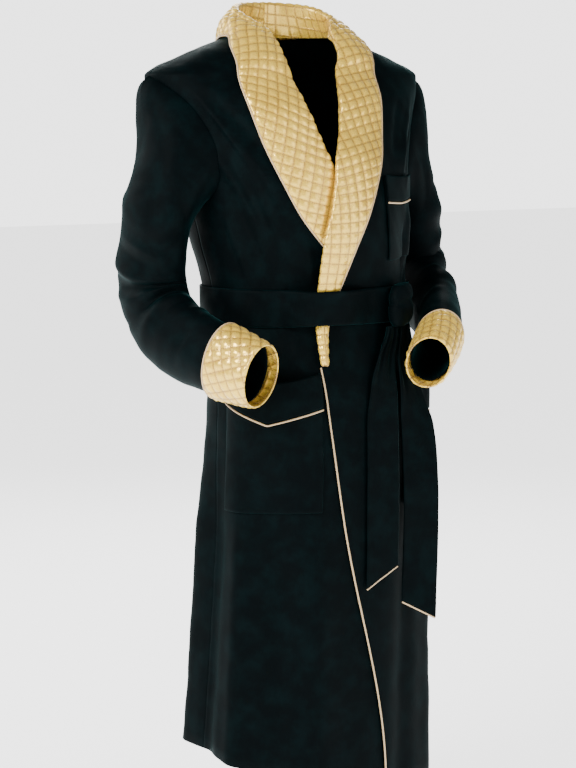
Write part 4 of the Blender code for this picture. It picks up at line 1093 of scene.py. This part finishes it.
# Pairs of points on each front: the roll line and the collar's outer edge
Lapel = namedtuple("Lapel", "roll_x roll_z edge_x edge_z")
LAPEL_RIGHT = (
    Lapel(0.040, -0.366, 0.016, -0.376),
    Lapel(0.020, -0.310, -0.030, -0.326),
    Lapel(-0.003, -0.250, -0.069, -0.277),
    Lapel(-0.020, -0.209, -0.095, -0.226),
    Lapel(-0.035, -0.164, -0.1150, -0.170),
    Lapel(-0.046, -0.120, -0.1295, -0.116),
    Lapel(-0.053, -0.075, -0.1330, -0.075),
    Lapel(-0.057, -0.035, -0.1285, -0.048),
)
LAPEL_LEFT = (
    Lapel(-0.0390, -0.500, -0.0320, -0.5005),
    Lapel(-0.0430, -0.440, -0.027, -0.442),
    Lapel(-0.0415, -0.390, -0.014, -0.394),
    Lapel(-0.0410, -0.314, 0.003, -0.326),
    Lapel(-0.0280, -0.254, 0.028, -0.270),
    Lapel(-0.0120, -0.194, 0.062, -0.204),
    Lapel(0.010, -0.150, 0.082, -0.155),
    Lapel(0.026, -0.100, 0.096, -0.103),
    Lapel(0.042, -0.060, 0.104, -0.066),
    Lapel(0.055, -0.032, 0.112, -0.044),
)

# The same round the neck, as angles from the side line towards the back
Neck = namedtuple("Neck", "roll_angle roll_z edge_angle edge_z")
NECK = (
    Neck(-45, 0.000, -35, -0.0235),
    Neck(-15, 0.019, -10, -0.0095),
    Neck(8, 0.029, 12, -0.0080),
    Neck(28, 0.036, 32, -0.0105),
    Neck(48, 0.040, 52, -0.0190),
    Neck(69, 0.042, 71, -0.0310),
    Neck(89.85, 0.043, 89.85, -0.0380),
)

# The way of each half's quilting against its line, in degrees
COLLAR_GRAIN = {-1: 12, 1: 0}


def collar_tracks(side, lapels):
    """Control points of a collar's half from its lower end to the centre back, each kind in one array."""
    roll_z = np.array([row.roll_z for row in lapels])
    edge_z = np.array([row.edge_z for row in lapels])
    roll_angle = front_angle(roll_z, np.array([row.roll_x for row in lapels]))
    edge_angle = front_angle(edge_z, np.array([row.edge_x for row in lapels]))
    neck_roll = np.array([row.roll_angle for row in NECK])
    neck_edge = np.array([row.edge_angle for row in NECK])
    if side < 0:
        neck_roll, neck_edge = turn(180.0 - neck_roll), turn(180.0 - neck_edge)
    roll_z = np.concatenate((roll_z, [row.roll_z for row in NECK]))
    edge_z = np.concatenate((edge_z, [row.edge_z for row in NECK]))
    roll_angle = np.concatenate((roll_angle, neck_roll))
    edge_angle = np.concatenate((edge_angle, neck_edge))

    def over(height, angle):
        return np.where((side > 0) & (roll_z < LAP_TOP), lap(height, angle), 0.0)

    wrap = ease(roll_z, *WRAPS)
    reach = LIP * ease(roll_z, *REACHES) + LIP_START
    rest = (1 - wrap) * (FLAT_RADIUS + LYING_REST)
    way = normal(roll_z, roll_angle)
    roll = body(roll_z, roll_angle, over(roll_z, roll_angle) + rest)
    edge = body(edge_z, edge_angle, over(edge_z, edge_angle) + EDGE_OUT)
    middle_z = (roll_z + edge_z) / 2
    middle_angle = roll_angle + turn(edge_angle - roll_angle) / 2
    under = body(middle_z, middle_angle, over(middle_z, middle_angle))
    middle_way = normal(middle_z, middle_angle)
    chord = (roll + way * FOLD_RADIUS + edge) / 2
    width = np.linalg.norm(edge - roll, axis=1)
    narrow = np.minimum(1.0, width / NARROW)
    lift = LIFT if side > 0 else UNDER_LIFT + (LIFT - UNDER_LIFT) * ease(roll_z, *LIFTS)
    bridge = np.einsum("ij,ij->i", chord - under, middle_way)
    bridge = bridge + np.where(roll_z > NECK_FROM, BRIDGE_NECK, BRIDGE_FRONT)
    high = np.maximum(bridge, EDGE_OUT + (lift - EDGE_OUT) * narrow)
    target = under + middle_way * high[:, None]
    share = reach / width
    lip_z = roll_z + share * (edge_z - roll_z)
    lip_angle = roll_angle + share * turn(edge_angle - roll_angle)
    lip = body(lip_z, lip_angle, over(lip_z, lip_angle) - FOLD_RADIUS - LIP_UNDER)
    level = np.ones(len(roll_z))
    stand = body(STAND_RING * level, roll_angle, (-FOLD_RADIUS - STAND_UNDER) * level)
    stand[:, 2] = STAND_FOOT
    lip = np.where((roll_z > STAND_FROM)[:, None], stand, lip)
    radius = FLAT_RADIUS + wrap * (FOLD_RADIUS - FLAT_RADIUS)
    return roll, edge, target, lip, way, np.stack((radius, wrap, reach), axis=-1)


def collar_points(side, lapels):
    """A collar half's outer points: rows from its outer edge over the fold and under it."""
    tracks = collar_tracks(side, lapels)
    fine = np.linspace(0, 1, 801)
    steps = np.linalg.norm(np.diff(curve_point(tracks[2], fine), axis=0), axis=1)
    far = np.concatenate(([0.0], np.cumsum(steps)))
    t = np.interp(np.linspace(0, far[-1], COLLAR_COLUMNS), far, fine)
    roll, edge, target, lip, way, shape = (curve_point(track, t) for track in tracks)
    radius, wrap, reach = shape[:, :1], shape[:, 1:2], shape[:, 2:]
    along = unit(curve_point(tracks[0], t + TRACK_STEP) - curve_point(tracks[0], t - TRACK_STEP))

    def part(a, b):
        return np.sum(a * b, axis=1, keepdims=True)

    way = unit(way - along * part(way, along))
    across = edge - roll
    across = unit(across - along * part(across, along) - way * part(across, way))
    top = roll + way * radius
    bend = 2 * target - (top + edge) / 2
    w = np.linspace(1, 0, FALL_ROWS + 1)[:, None, None]
    fall = (1 - w) ** 2 * top + 2 * w * (1 - w) * bend + w * w * edge
    a = (np.linspace(0, math.pi, FOLD_ROWS + 1)[1:])[:, None, None]
    fold = roll + radius * (np.cos(a) * way - np.sin(a) * across)
    inside = np.where(wrap > 0.999, lip, roll + across * reach - way * radius)
    w = np.linspace(0, 1, LIP_ROWS + 1)[1:, None, None]
    grid = np.concatenate((fall, fold, fold[-1] + (inside - fold[-1]) * w))
    grid[:, -1, 0] = side * SEAM
    return grid if side > 0 else grid[:, ::-1]


def build_collar(sizes):
    """The two halves of the quilted shawl collar, which meet at the centre back, and their piping."""
    for side, name, lapels in ((-1, "right", LAPEL_RIGHT), (1, "left", LAPEL_LEFT)):
        grid = collar_points(side, lapels)
        ways = grid_ways(grid)
        centre_back = ways[:, -1 if side > 0 else 0]
        centre_back[:, 0] = 0.0
        centre_back /= np.linalg.norm(centre_back, axis=-1, keepdims=True)
        row = np.arange(len(grid))[:, None]
        calm = ease(row, 0, COLLAR_CALM) * (1 - ease(row, FALL_ROWS + 1, FALL_ROWS + FOLD_ROWS))
        satin_sheet("collar_" + name, grid, ways, FALL_ROWS // 2, side * COLLAR_GRAIN[side], calm, sizes,
                    FLAT["collar"], "front_" + name, "back")
        line = beyond(grid[0], grid[1], ways[0], sizes.piping, SATIN / 3)
        cord("collar_" + name, even_line(line), sizes.piping)


# Pockets

# A pocket spans two angles; its mouth sags in the middle; its band's lower edge is a shallow V.
Pocket = namedtuple("Pocket", "start stop mouth sag low_start low_middle low_stop bottom bulge")
POCKET_RIGHT = Pocket(-169, -109, -0.512, 0.014, -0.552, -0.583, -0.561, -0.720, 0.020)
POCKET_LEFT = Pocket(-64, -6, -0.515, 0.014, -0.558, -0.583, -0.552, -0.720, 0.009)
POCKET_BREAST = Pocket(-71, -41, -0.217, 0.003, -0.254, -0.2555, -0.252, -0.340, 0.0015)
POCKET_COLUMNS = 64
POCKET_ROWS = 70
BAND_ROWS = 28

# Gaps under the band and the bag, how far the piping lies below the band and stands out, the size of the
# waves, how many times deeper than the band the bag is cut, and how round and how high its belly swells
BAND_CLEAR = 0.0012
POCKET_CLEAR = 0.0017
POCKET_PIPE_DROP = 0.0041
POCKET_PIPE_OUT = 0.0026
POCKET_WAVES = 0.040
BAG_TO_BAND = 2.4
BELLY_ROUNDNESS = 0.8
BELLY_SWELLS = (-0.05, 0.95)


def pocket_point(pocket, over, u, height, more):
    """Points of a pocket's bag at shares of its width and heights, moved further out."""
    angle = pocket.start + u * (pocket.stop - pocket.start)
    up = (height - pocket.bottom) / (pocket.mouth - pocket.bottom)
    belly = np.sin(math.pi * np.clip(u, 0, 1)) ** BELLY_ROUNDNESS * ease(up, *BELLY_SWELLS)
    return body(height, angle, over(height, angle) + POCKET_CLEAR + BAND + pocket.bulge * belly + more)


def build_pockets(sizes):
    """The patch pockets: each is a velvet bag with a deep band round its mouth and piping under the band."""
    pockets = (
        ("pocket_right", "pocket_band_right", "pocket_right", POCKET_RIGHT, flat_on, FLAT["hip_pocket"]),
        ("pocket_left", "pocket_band_left", "pocket_left", POCKET_LEFT, lap, FLAT["hip_pocket"]),
        ("breast_pocket", "breast_band", "breast", POCKET_BREAST, lap, FLAT["breast_pocket"]),
    )
    u = np.linspace(0, 1, POCKET_COLUMNS)[None]
    for bag_name, band_name, cord_name, pocket, over, (wide, deep) in pockets:
        mouth = pocket.mouth - pocket.sag * np.sin(math.pi * u)
        low = np.interp(u, (0, 0.5, 1), (pocket.low_start, pocket.low_middle, pocket.low_stop))
        up = np.linspace(0, 1, POCKET_ROWS + 1)[:, None]
        bag = pocket_point(pocket, over, u, pocket.bottom + up * (mouth - pocket.bottom), 0.0)
        up = np.linspace(0, 1, BAND_ROWS + 1)[:, None]
        band = pocket_point(pocket, over, u, low + up * (mouth - low), BAND + BAND_CLEAR)
        below = "velvet_front_left" if over is lap else "velvet_front_right"
        for name, points, cut in ((bag_name, bag, deep), (band_name, band, deep / BAG_TO_BAND)):
            velvet_sheet(name, points, BAND, POCKET_WAVES, sizes.unevenness / 2, (wide, cut), below)
        line = pocket_point(pocket, over, u[0], low[0] - POCKET_PIPE_DROP, POCKET_PIPE_OUT)
        cord(cord_name, even_line(line), sizes.piping)


# Belt

BELT_LOW = -0.440
BELT_HIGH = -0.386
BELT_COLUMNS = 240
BELT_ROWS = 16
BELT_WAVES = 0.030
BELT_BELLY = 0.0015
BELT_CLEAR = 0.0018
BELT_OVER_LAPEL = 0.0118

# Places across the front between which the belt climbs over the lapped front, climbs over the lapel and
# comes down from the lapel again
BELT_OVER_FRONT_AT = (-0.100, -0.050)
BELT_CLIMBS_AT = (-0.095, -0.052)
BELT_COMES_DOWN_AT = (-0.006, 0.045)

# The half knot: where it sits, half its height, width and depth, its lean, its gap to the belt, how blunt
# its ends and how round its section are, its folds' depth, number and twist, the shares to which its
# ends close, its groove's depth, place and width, and its points
KNOT_ANGLE = -66.0
KNOT_HIGH = 0.031
KNOT_WIDE = 0.023
KNOT_DEEP = 0.0145
KNOT_LEAN = 0.16
KNOT_CLEAR = 0.0010
KNOT_BLUNT = 0.86
KNOT_ROUND = 0.85
KNOT_FOLD = 0.0011
KNOT_FOLDS = 5
KNOT_TWIST = 3.2
KNOT_END = (0.03, 0.6)
GROOVE = 0.14
GROOVE_AT = 0.15
GROOVE_WIDE = 0.16
KNOT_SIDES = 72
KNOT_ROWS = 60

# A belt's tail, in rows upwards: where its middle lies, how far it stands out, which way it faces and
# how wide it is
Tail = namedtuple("Tail", "height angle out face width")
TAIL_FRONT = (
    Tail(-0.842, -80.5, 0.0090, -92, 0.054),
    Tail(-0.700, -80.5, 0.0090, -92, 0.054),
    Tail(-0.600, -80.5, 0.0090, -92, 0.053),
    Tail(-0.540, -79.0, 0.0090, -88, 0.046),
    Tail(-0.490, -75.5, 0.0120, -80, 0.033),
    Tail(-0.450, -71.5, 0.0190, -72, 0.023),
)
TAIL_SIDE = (
    Tail(-0.897, -63.0, 0.0330, -106, 0.054),
    Tail(-0.700, -63.0, 0.0320, -104, 0.054),
    Tail(-0.600, -62.5, 0.0260, -94, 0.054),
    Tail(-0.540, -63.0, 0.0160, -76, 0.042),
    Tail(-0.490, -63.0, 0.0120, -68, 0.031),
    Tail(-0.450, -62.0, 0.0190, -65, 0.022),
)

# Heights of each tail's slanting end, at its two edges
TAIL_FRONT_END = (-0.842, -0.811)
TAIL_SIDE_END = (-0.869, -0.897)

# A tail's points and waves, and the creases and tucks across it where it is gathered
TAIL_COLUMNS = 26
TAIL_ROWS = 150
TAIL_WAVES = 0.050
TAIL_CREASE = 0.0025
TAIL_CREASES = 2
TAIL_TUCK = 0.0012
TAIL_TUCKS = 3.5

# Widths between which a tail goes from plain to fully gathered
TAIL_GATHERS = (0.052, 0.026)


def belt_out(height, angle):
    """How far the belt's outer face stands out: it passes over the lapped front and the lapel."""
    over, climb, down = (ease(angle, front_angle(height, start), front_angle(height, end))
                         for start, end in (BELT_OVER_FRONT_AT, BELT_CLIMBS_AT, BELT_COMES_DOWN_AT))
    return lap(height, angle) * over + BELT_OVER_LAPEL * climb * (1 - down) + BELT_CLEAR + BELT_CLOTH


def build_belt(sizes):
    """The belt round the waist, a little fuller along its middle."""
    up = np.linspace(0, 1, BELT_ROWS + 1)[:, None]
    height = BELT_LOW + up * (BELT_HIGH - BELT_LOW)
    angle = -180 + 360 * np.arange(BELT_COLUMNS)[None] / BELT_COLUMNS
    grid = body(height + 0 * angle, angle, belt_out(height, angle) + BELT_BELLY * np.sin(math.pi * up))
    velvet_sheet("belt", grid, BELT_CLOTH, BELT_WAVES, sizes.unevenness, FLAT["belt"],
                 "velvet_front_left", "velvet_front_right", "velvet_back", closed=True)


def build_knot(sizes):
    """The half knot: soft turns of cloth, with a groove where the upper turn crosses the lower."""
    middle = np.array((BELT_LOW + BELT_HIGH) / 2)
    out = unit(normal(middle, KNOT_ANGLE) * (1, 1, 0))
    side = np.cross((0, 0, 1), out)
    lift = belt_out(middle, KNOT_ANGLE) + BELT_BELLY + KNOT_CLEAR + KNOT_DEEP
    start = body(middle, KNOT_ANGLE, lift)
    up = np.linspace(-1, 1, KNOT_ROWS + 1)[:, None]
    a = math.tau * np.arange(KNOT_SIDES)[None] / KNOT_SIDES
    swell = np.sqrt(1 - (np.abs(up) * KNOT_BLUNT) ** 3)
    groove = 1 - GROOVE * np.exp(-((up - GROOVE_AT) / GROOVE_WIDE) ** 2)
    across = np.sign(np.cos(a)) * np.abs(np.cos(a)) ** KNOT_ROUND * KNOT_WIDE * swell
    deep = np.sign(np.sin(a)) * np.abs(np.sin(a)) ** KNOT_ROUND * KNOT_DEEP * swell
    folds = KNOT_FOLD * np.sin(KNOT_FOLDS * across / KNOT_WIDE + KNOT_TWIST * up) * np.maximum(np.sin(a), 0)
    deep = np.where(deep > 0, deep * groove + folds, deep)
    height = up * KNOT_HIGH + across * KNOT_LEAN
    points = start + side * (across * groove)[..., None] + out * deep[..., None] + spot(0, 0, height)
    shares = np.array(KNOT_END)[:, None, None]
    foot, head = points[0].mean(axis=0), points[-1].mean(axis=0)
    grid = np.concatenate((foot + (points[0] - foot) * shares, points,
                           head + (points[-1] - head) * shares[::-1]))
    index = np.arange(grid.shape[0] * KNOT_SIDES).reshape(-1, KNOT_SIDES)
    quads = ring_faces(index)
    caps = np.array([(index[0, 0], index[0, k + 1], index[0, k]) for k in range(1, KNOT_SIDES - 1)]
                    + [(index[-1, 0], index[-1, k], index[-1, k + 1]) for k in range(1, KNOT_SIDES - 1)])
    mesh = mesh_of("velvet_belt_knot", grid.reshape(-1, 3), quads, caps,
                   np.zeros((len(quads), 4, 2)), np.zeros((len(caps), 3, 2)))
    finished("velvet_belt_knot", mesh, ["belt_knot"], "green_black_velvet")


def build_tails(sizes):
    """The belt's two tails, which hang from the knot and end in piping."""
    u = np.linspace(0, 1, TAIL_COLUMNS)[None]
    for name, rows, (start, stop) in (("belt_tail_front", TAIL_FRONT, TAIL_FRONT_END),
                                      ("belt_tail_side", TAIL_SIDE, TAIL_SIDE_END)):
        end = start + u * (stop - start)
        height = end + (rows[-1].height - end) * np.linspace(0, 1, TAIL_ROWS + 1)[:, None]
        width, angle = read(rows, "width", height), read(rows, "angle", height)
        face = np.radians(read(rows, "face", height))
        across = spot(-np.sin(face), np.cos(face), 0)
        gathered = ease(width, *TAIL_GATHERS)
        crease = gathered * (TAIL_CREASE * np.cos(TAIL_CREASES * math.tau * u)
                             + TAIL_TUCK * np.sin(TAIL_TUCKS * math.tau * u))
        grid = body(height, angle, lap(height, angle) + read(rows, "out", height) + crease)
        grid = grid + across * (width * (u - 0.5))[..., None]
        grid, ways = velvet_sheet(name, grid, BELT_CLOTH, TAIL_WAVES, sizes.unevenness, FLAT["tail"],
                                  "velvet_belt_knot")
        cord(name, beyond(grid[0], grid[1], ways[0], sizes.piping, BELT_CLOTH / 2), sizes.piping)


# The front's free edge carries the piping on from the collar to the hem.
EDGE_PIPING_TOP = -0.503


def build_front_piping(sizes):
    """The piping along the left front's free edge, from the hem up to the collar's end."""
    row = np.linspace(LOWEST_HEM, EDGE_PIPING_TOP, 160)
    angle = front_edge(row, 1)
    height = lowered(row, angle)
    edge = body(height, angle, lap(height, angle) - VELVET / 2)
    beside = body(height, angle + 2, lap(height, angle) - VELVET / 2)
    cord("front", even_line(beyond(edge, beside, 0.0, sizes.piping, 0.0)), sizes.piping)


# Stage

# The camera stands to the right of the jacket's front, level with the neck, and looks down a little.
CAMERA_TURN = 32.0
CAMERA_AWAY = 4.0
CAMERA_HEIGHT = -0.065
CAMERA_AIM = -0.545
CAMERA_ASIDE = -0.003
CAMERA_LENS = 120.5
FLOOR_BELOW = 0.09
FLOOR_SIZE = 30.0
FLOOR_GLOW = 2.2
SKY_LIGHT = 0.32
SKY_SEEN = 3.1

# Soft lamps: where each stands round the front (positive is the jacket's left), how high, how far,
# how wide and how bright. All point at one spot.
LAMP_AIM = (0, 0, -0.45)
Lamp = namedtuple("Lamp", "name turn height away size power")
LAMPS = (
    Lamp("key", -70, 1.2, 2.8, 1.2, 135),
    Lamp("fill", 20, 0.6, 3.2, 2.0, 42),
    Lamp("edge", 150, 0.9, 2.8, 1.6, 60),
    Lamp("back_edge", -150, 0.9, 2.8, 1.6, 50),
)


def aimed(thing, place, target):
    """Turns a camera or a lamp towards a point."""
    thing.location = place
    thing.rotation_euler = (Vector(target) - Vector(place)).to_track_quat("-Z", "Y").to_euler()


def build_floor():
    """The pale floor, below the hem."""
    bpy.ops.object.select_all(action="DESELECT")
    low = CAD_BOX[0].z - FLOOR_BELOW
    bpy.ops.mesh.primitive_plane_add(size=FLOOR_SIZE, location=(0, 0, low))
    floor = bpy.context.object
    floor.name = "floor"
    material, _, shader = start_material("pale_floor", 0.9)
    shader.inputs["Base Color"].default_value = (0.88, 0.88, 0.88, 1.0)
    shader.inputs["Emission Color"].default_value = (1.0, 1.0, 1.0, 1.0)
    shader.inputs["Emission Strength"].default_value = FLOOR_GLOW
    shader.inputs["Specular IOR Level"].default_value = 0.2
    floor.data.materials.append(material)


def build_lights():
    """Soft lamps round the jacket, and a pale sky."""
    for lamp in LAMPS:
        light = bpy.data.lights.new(lamp.name, "AREA")
        light.size, light.energy = lamp.size, lamp.power
        piece = bpy.data.objects.new(lamp.name, light)
        bpy.context.scene.collection.objects.link(piece)
        a = math.radians(lamp.turn)
        aimed(piece, (lamp.away * math.sin(a), -lamp.away * math.cos(a), lamp.height), LAMP_AIM)
    world = bpy.data.worlds.new("pale_room")
    world.use_nodes = True
    tree = world.node_tree
    sky = tree.nodes["Background"]
    sky.inputs["Color"].default_value = (1.0, 1.0, 1.0, 1.0)
    seen = tree.nodes.new("ShaderNodeLightPath").outputs["Is Camera Ray"]
    tree.links.new(between(tree, seen, 0.0, 1.0, SKY_LIGHT, SKY_SEEN), sky.inputs["Strength"])
    bpy.context.scene.world = world


def build_camera():
    """The camera, at the height and turn that show the jacket's right side and front."""
    camera = bpy.data.objects.new("camera", bpy.data.cameras.new("camera"))
    bpy.context.scene.collection.objects.link(camera)
    camera.data.lens = CAMERA_LENS
    a = math.radians(CAMERA_TURN)
    aside = (CAMERA_ASIDE * math.cos(a), -CAMERA_ASIDE * math.sin(a))
    aimed(camera, (-CAMERA_AWAY * math.sin(a), -CAMERA_AWAY * math.cos(a), CAMERA_HEIGHT),
          (aside[0], aside[1], CAMERA_AIM))
    bpy.context.scene.camera = camera


# Operators


class JACKET_OT_panels(Operator):
    """Makes the velvet back and fronts"""
    bl_idname = "jacket.panels"
    bl_label = "Back and fronts"

    def execute(self, context):
        build_panels(context.scene.jacket_sizes)
        return {"FINISHED"}


class JACKET_OT_sleeves(Operator):
    """Makes the two velvet sleeves"""
    bl_idname = "jacket.sleeves"
    bl_label = "Sleeves"

    def execute(self, context):
        build_sleeves(context.scene.jacket_sizes)
        return {"FINISHED"}


class JACKET_OT_cuffs(Operator):
    """Makes the quilted cuffs and their piping"""
    bl_idname = "jacket.cuffs"
    bl_label = "Cuffs"

    def execute(self, context):
        build_cuffs(context.scene.jacket_sizes)
        return {"FINISHED"}


class JACKET_OT_collar(Operator):
    """Makes the quilted shawl collar and its piping"""
    bl_idname = "jacket.collar"
    bl_label = "Collar"

    def execute(self, context):
        build_collar(context.scene.jacket_sizes)
        return {"FINISHED"}


class JACKET_OT_pockets(Operator):
    """Makes the patch pockets, their bands and their piping"""
    bl_idname = "jacket.pockets"
    bl_label = "Pockets"

    def execute(self, context):
        build_pockets(context.scene.jacket_sizes)
        return {"FINISHED"}


class JACKET_OT_belt(Operator):
    """Makes the belt, its half knot and its tails"""
    bl_idname = "jacket.belt"
    bl_label = "Belt"

    def execute(self, context):
        sizes = context.scene.jacket_sizes
        build_belt(sizes)
        build_knot(sizes)
        build_tails(sizes)
        return {"FINISHED"}


class JACKET_OT_edge_piping(Operator):
    """Makes the piping along the front's free edge"""
    bl_idname = "jacket.edge_piping"
    bl_label = "Front edge piping"

    def execute(self, context):
        build_front_piping(context.scene.jacket_sizes)
        return {"FINISHED"}


class JACKET_OT_stage(Operator):
    """Sets the floor, the lamps and the camera"""
    bl_idname = "jacket.stage"
    bl_label = "Stage"

    def execute(self, context):
        build_floor()
        build_lights()
        build_camera()
        return {"FINISHED"}


STEPS = (JACKET_OT_stage, JACKET_OT_panels, JACKET_OT_sleeves, JACKET_OT_cuffs, JACKET_OT_collar,
         JACKET_OT_pockets, JACKET_OT_belt, JACKET_OT_edge_piping)


class JACKET_PT_sidebar(Panel):
    """Lists the jacket's sizes, colours and steps"""
    bl_idname = "JACKET_PT_sidebar"
    bl_label = "Jacket"
    bl_space_type = "VIEW_3D"
    bl_region_type = "UI"
    bl_category = "Jacket"

    def draw(self, context):
        for group in (context.scene.jacket_sizes, context.scene.jacket_colours):
            for name in group.__annotations__:
                self.layout.prop(group, name)
        for step in STEPS:
            self.layout.operator(step.bl_idname)


CLASSES = (JacketSizes, JacketColours) + STEPS + (JACKET_PT_sidebar,)


def register():
    for part in CLASSES:
        bpy.utils.register_class(part)
    bpy.types.Scene.jacket_sizes = PointerProperty(type=JacketSizes)
    bpy.types.Scene.jacket_colours = PointerProperty(type=JacketColours)


def unregister():
    del bpy.types.Scene.jacket_colours
    del bpy.types.Scene.jacket_sizes
    for part in reversed(CLASSES):
        bpy.utils.unregister_class(part)


def main():
    register()
    bpy.ops.jacket.stage()
    bpy.ops.jacket.panels()
    bpy.ops.jacket.sleeves()
    bpy.ops.jacket.cuffs()
    bpy.ops.jacket.collar()
    bpy.ops.jacket.pockets()
    bpy.ops.jacket.belt()
    bpy.ops.jacket.edge_piping()


if __name__ == "__main__":
    main()
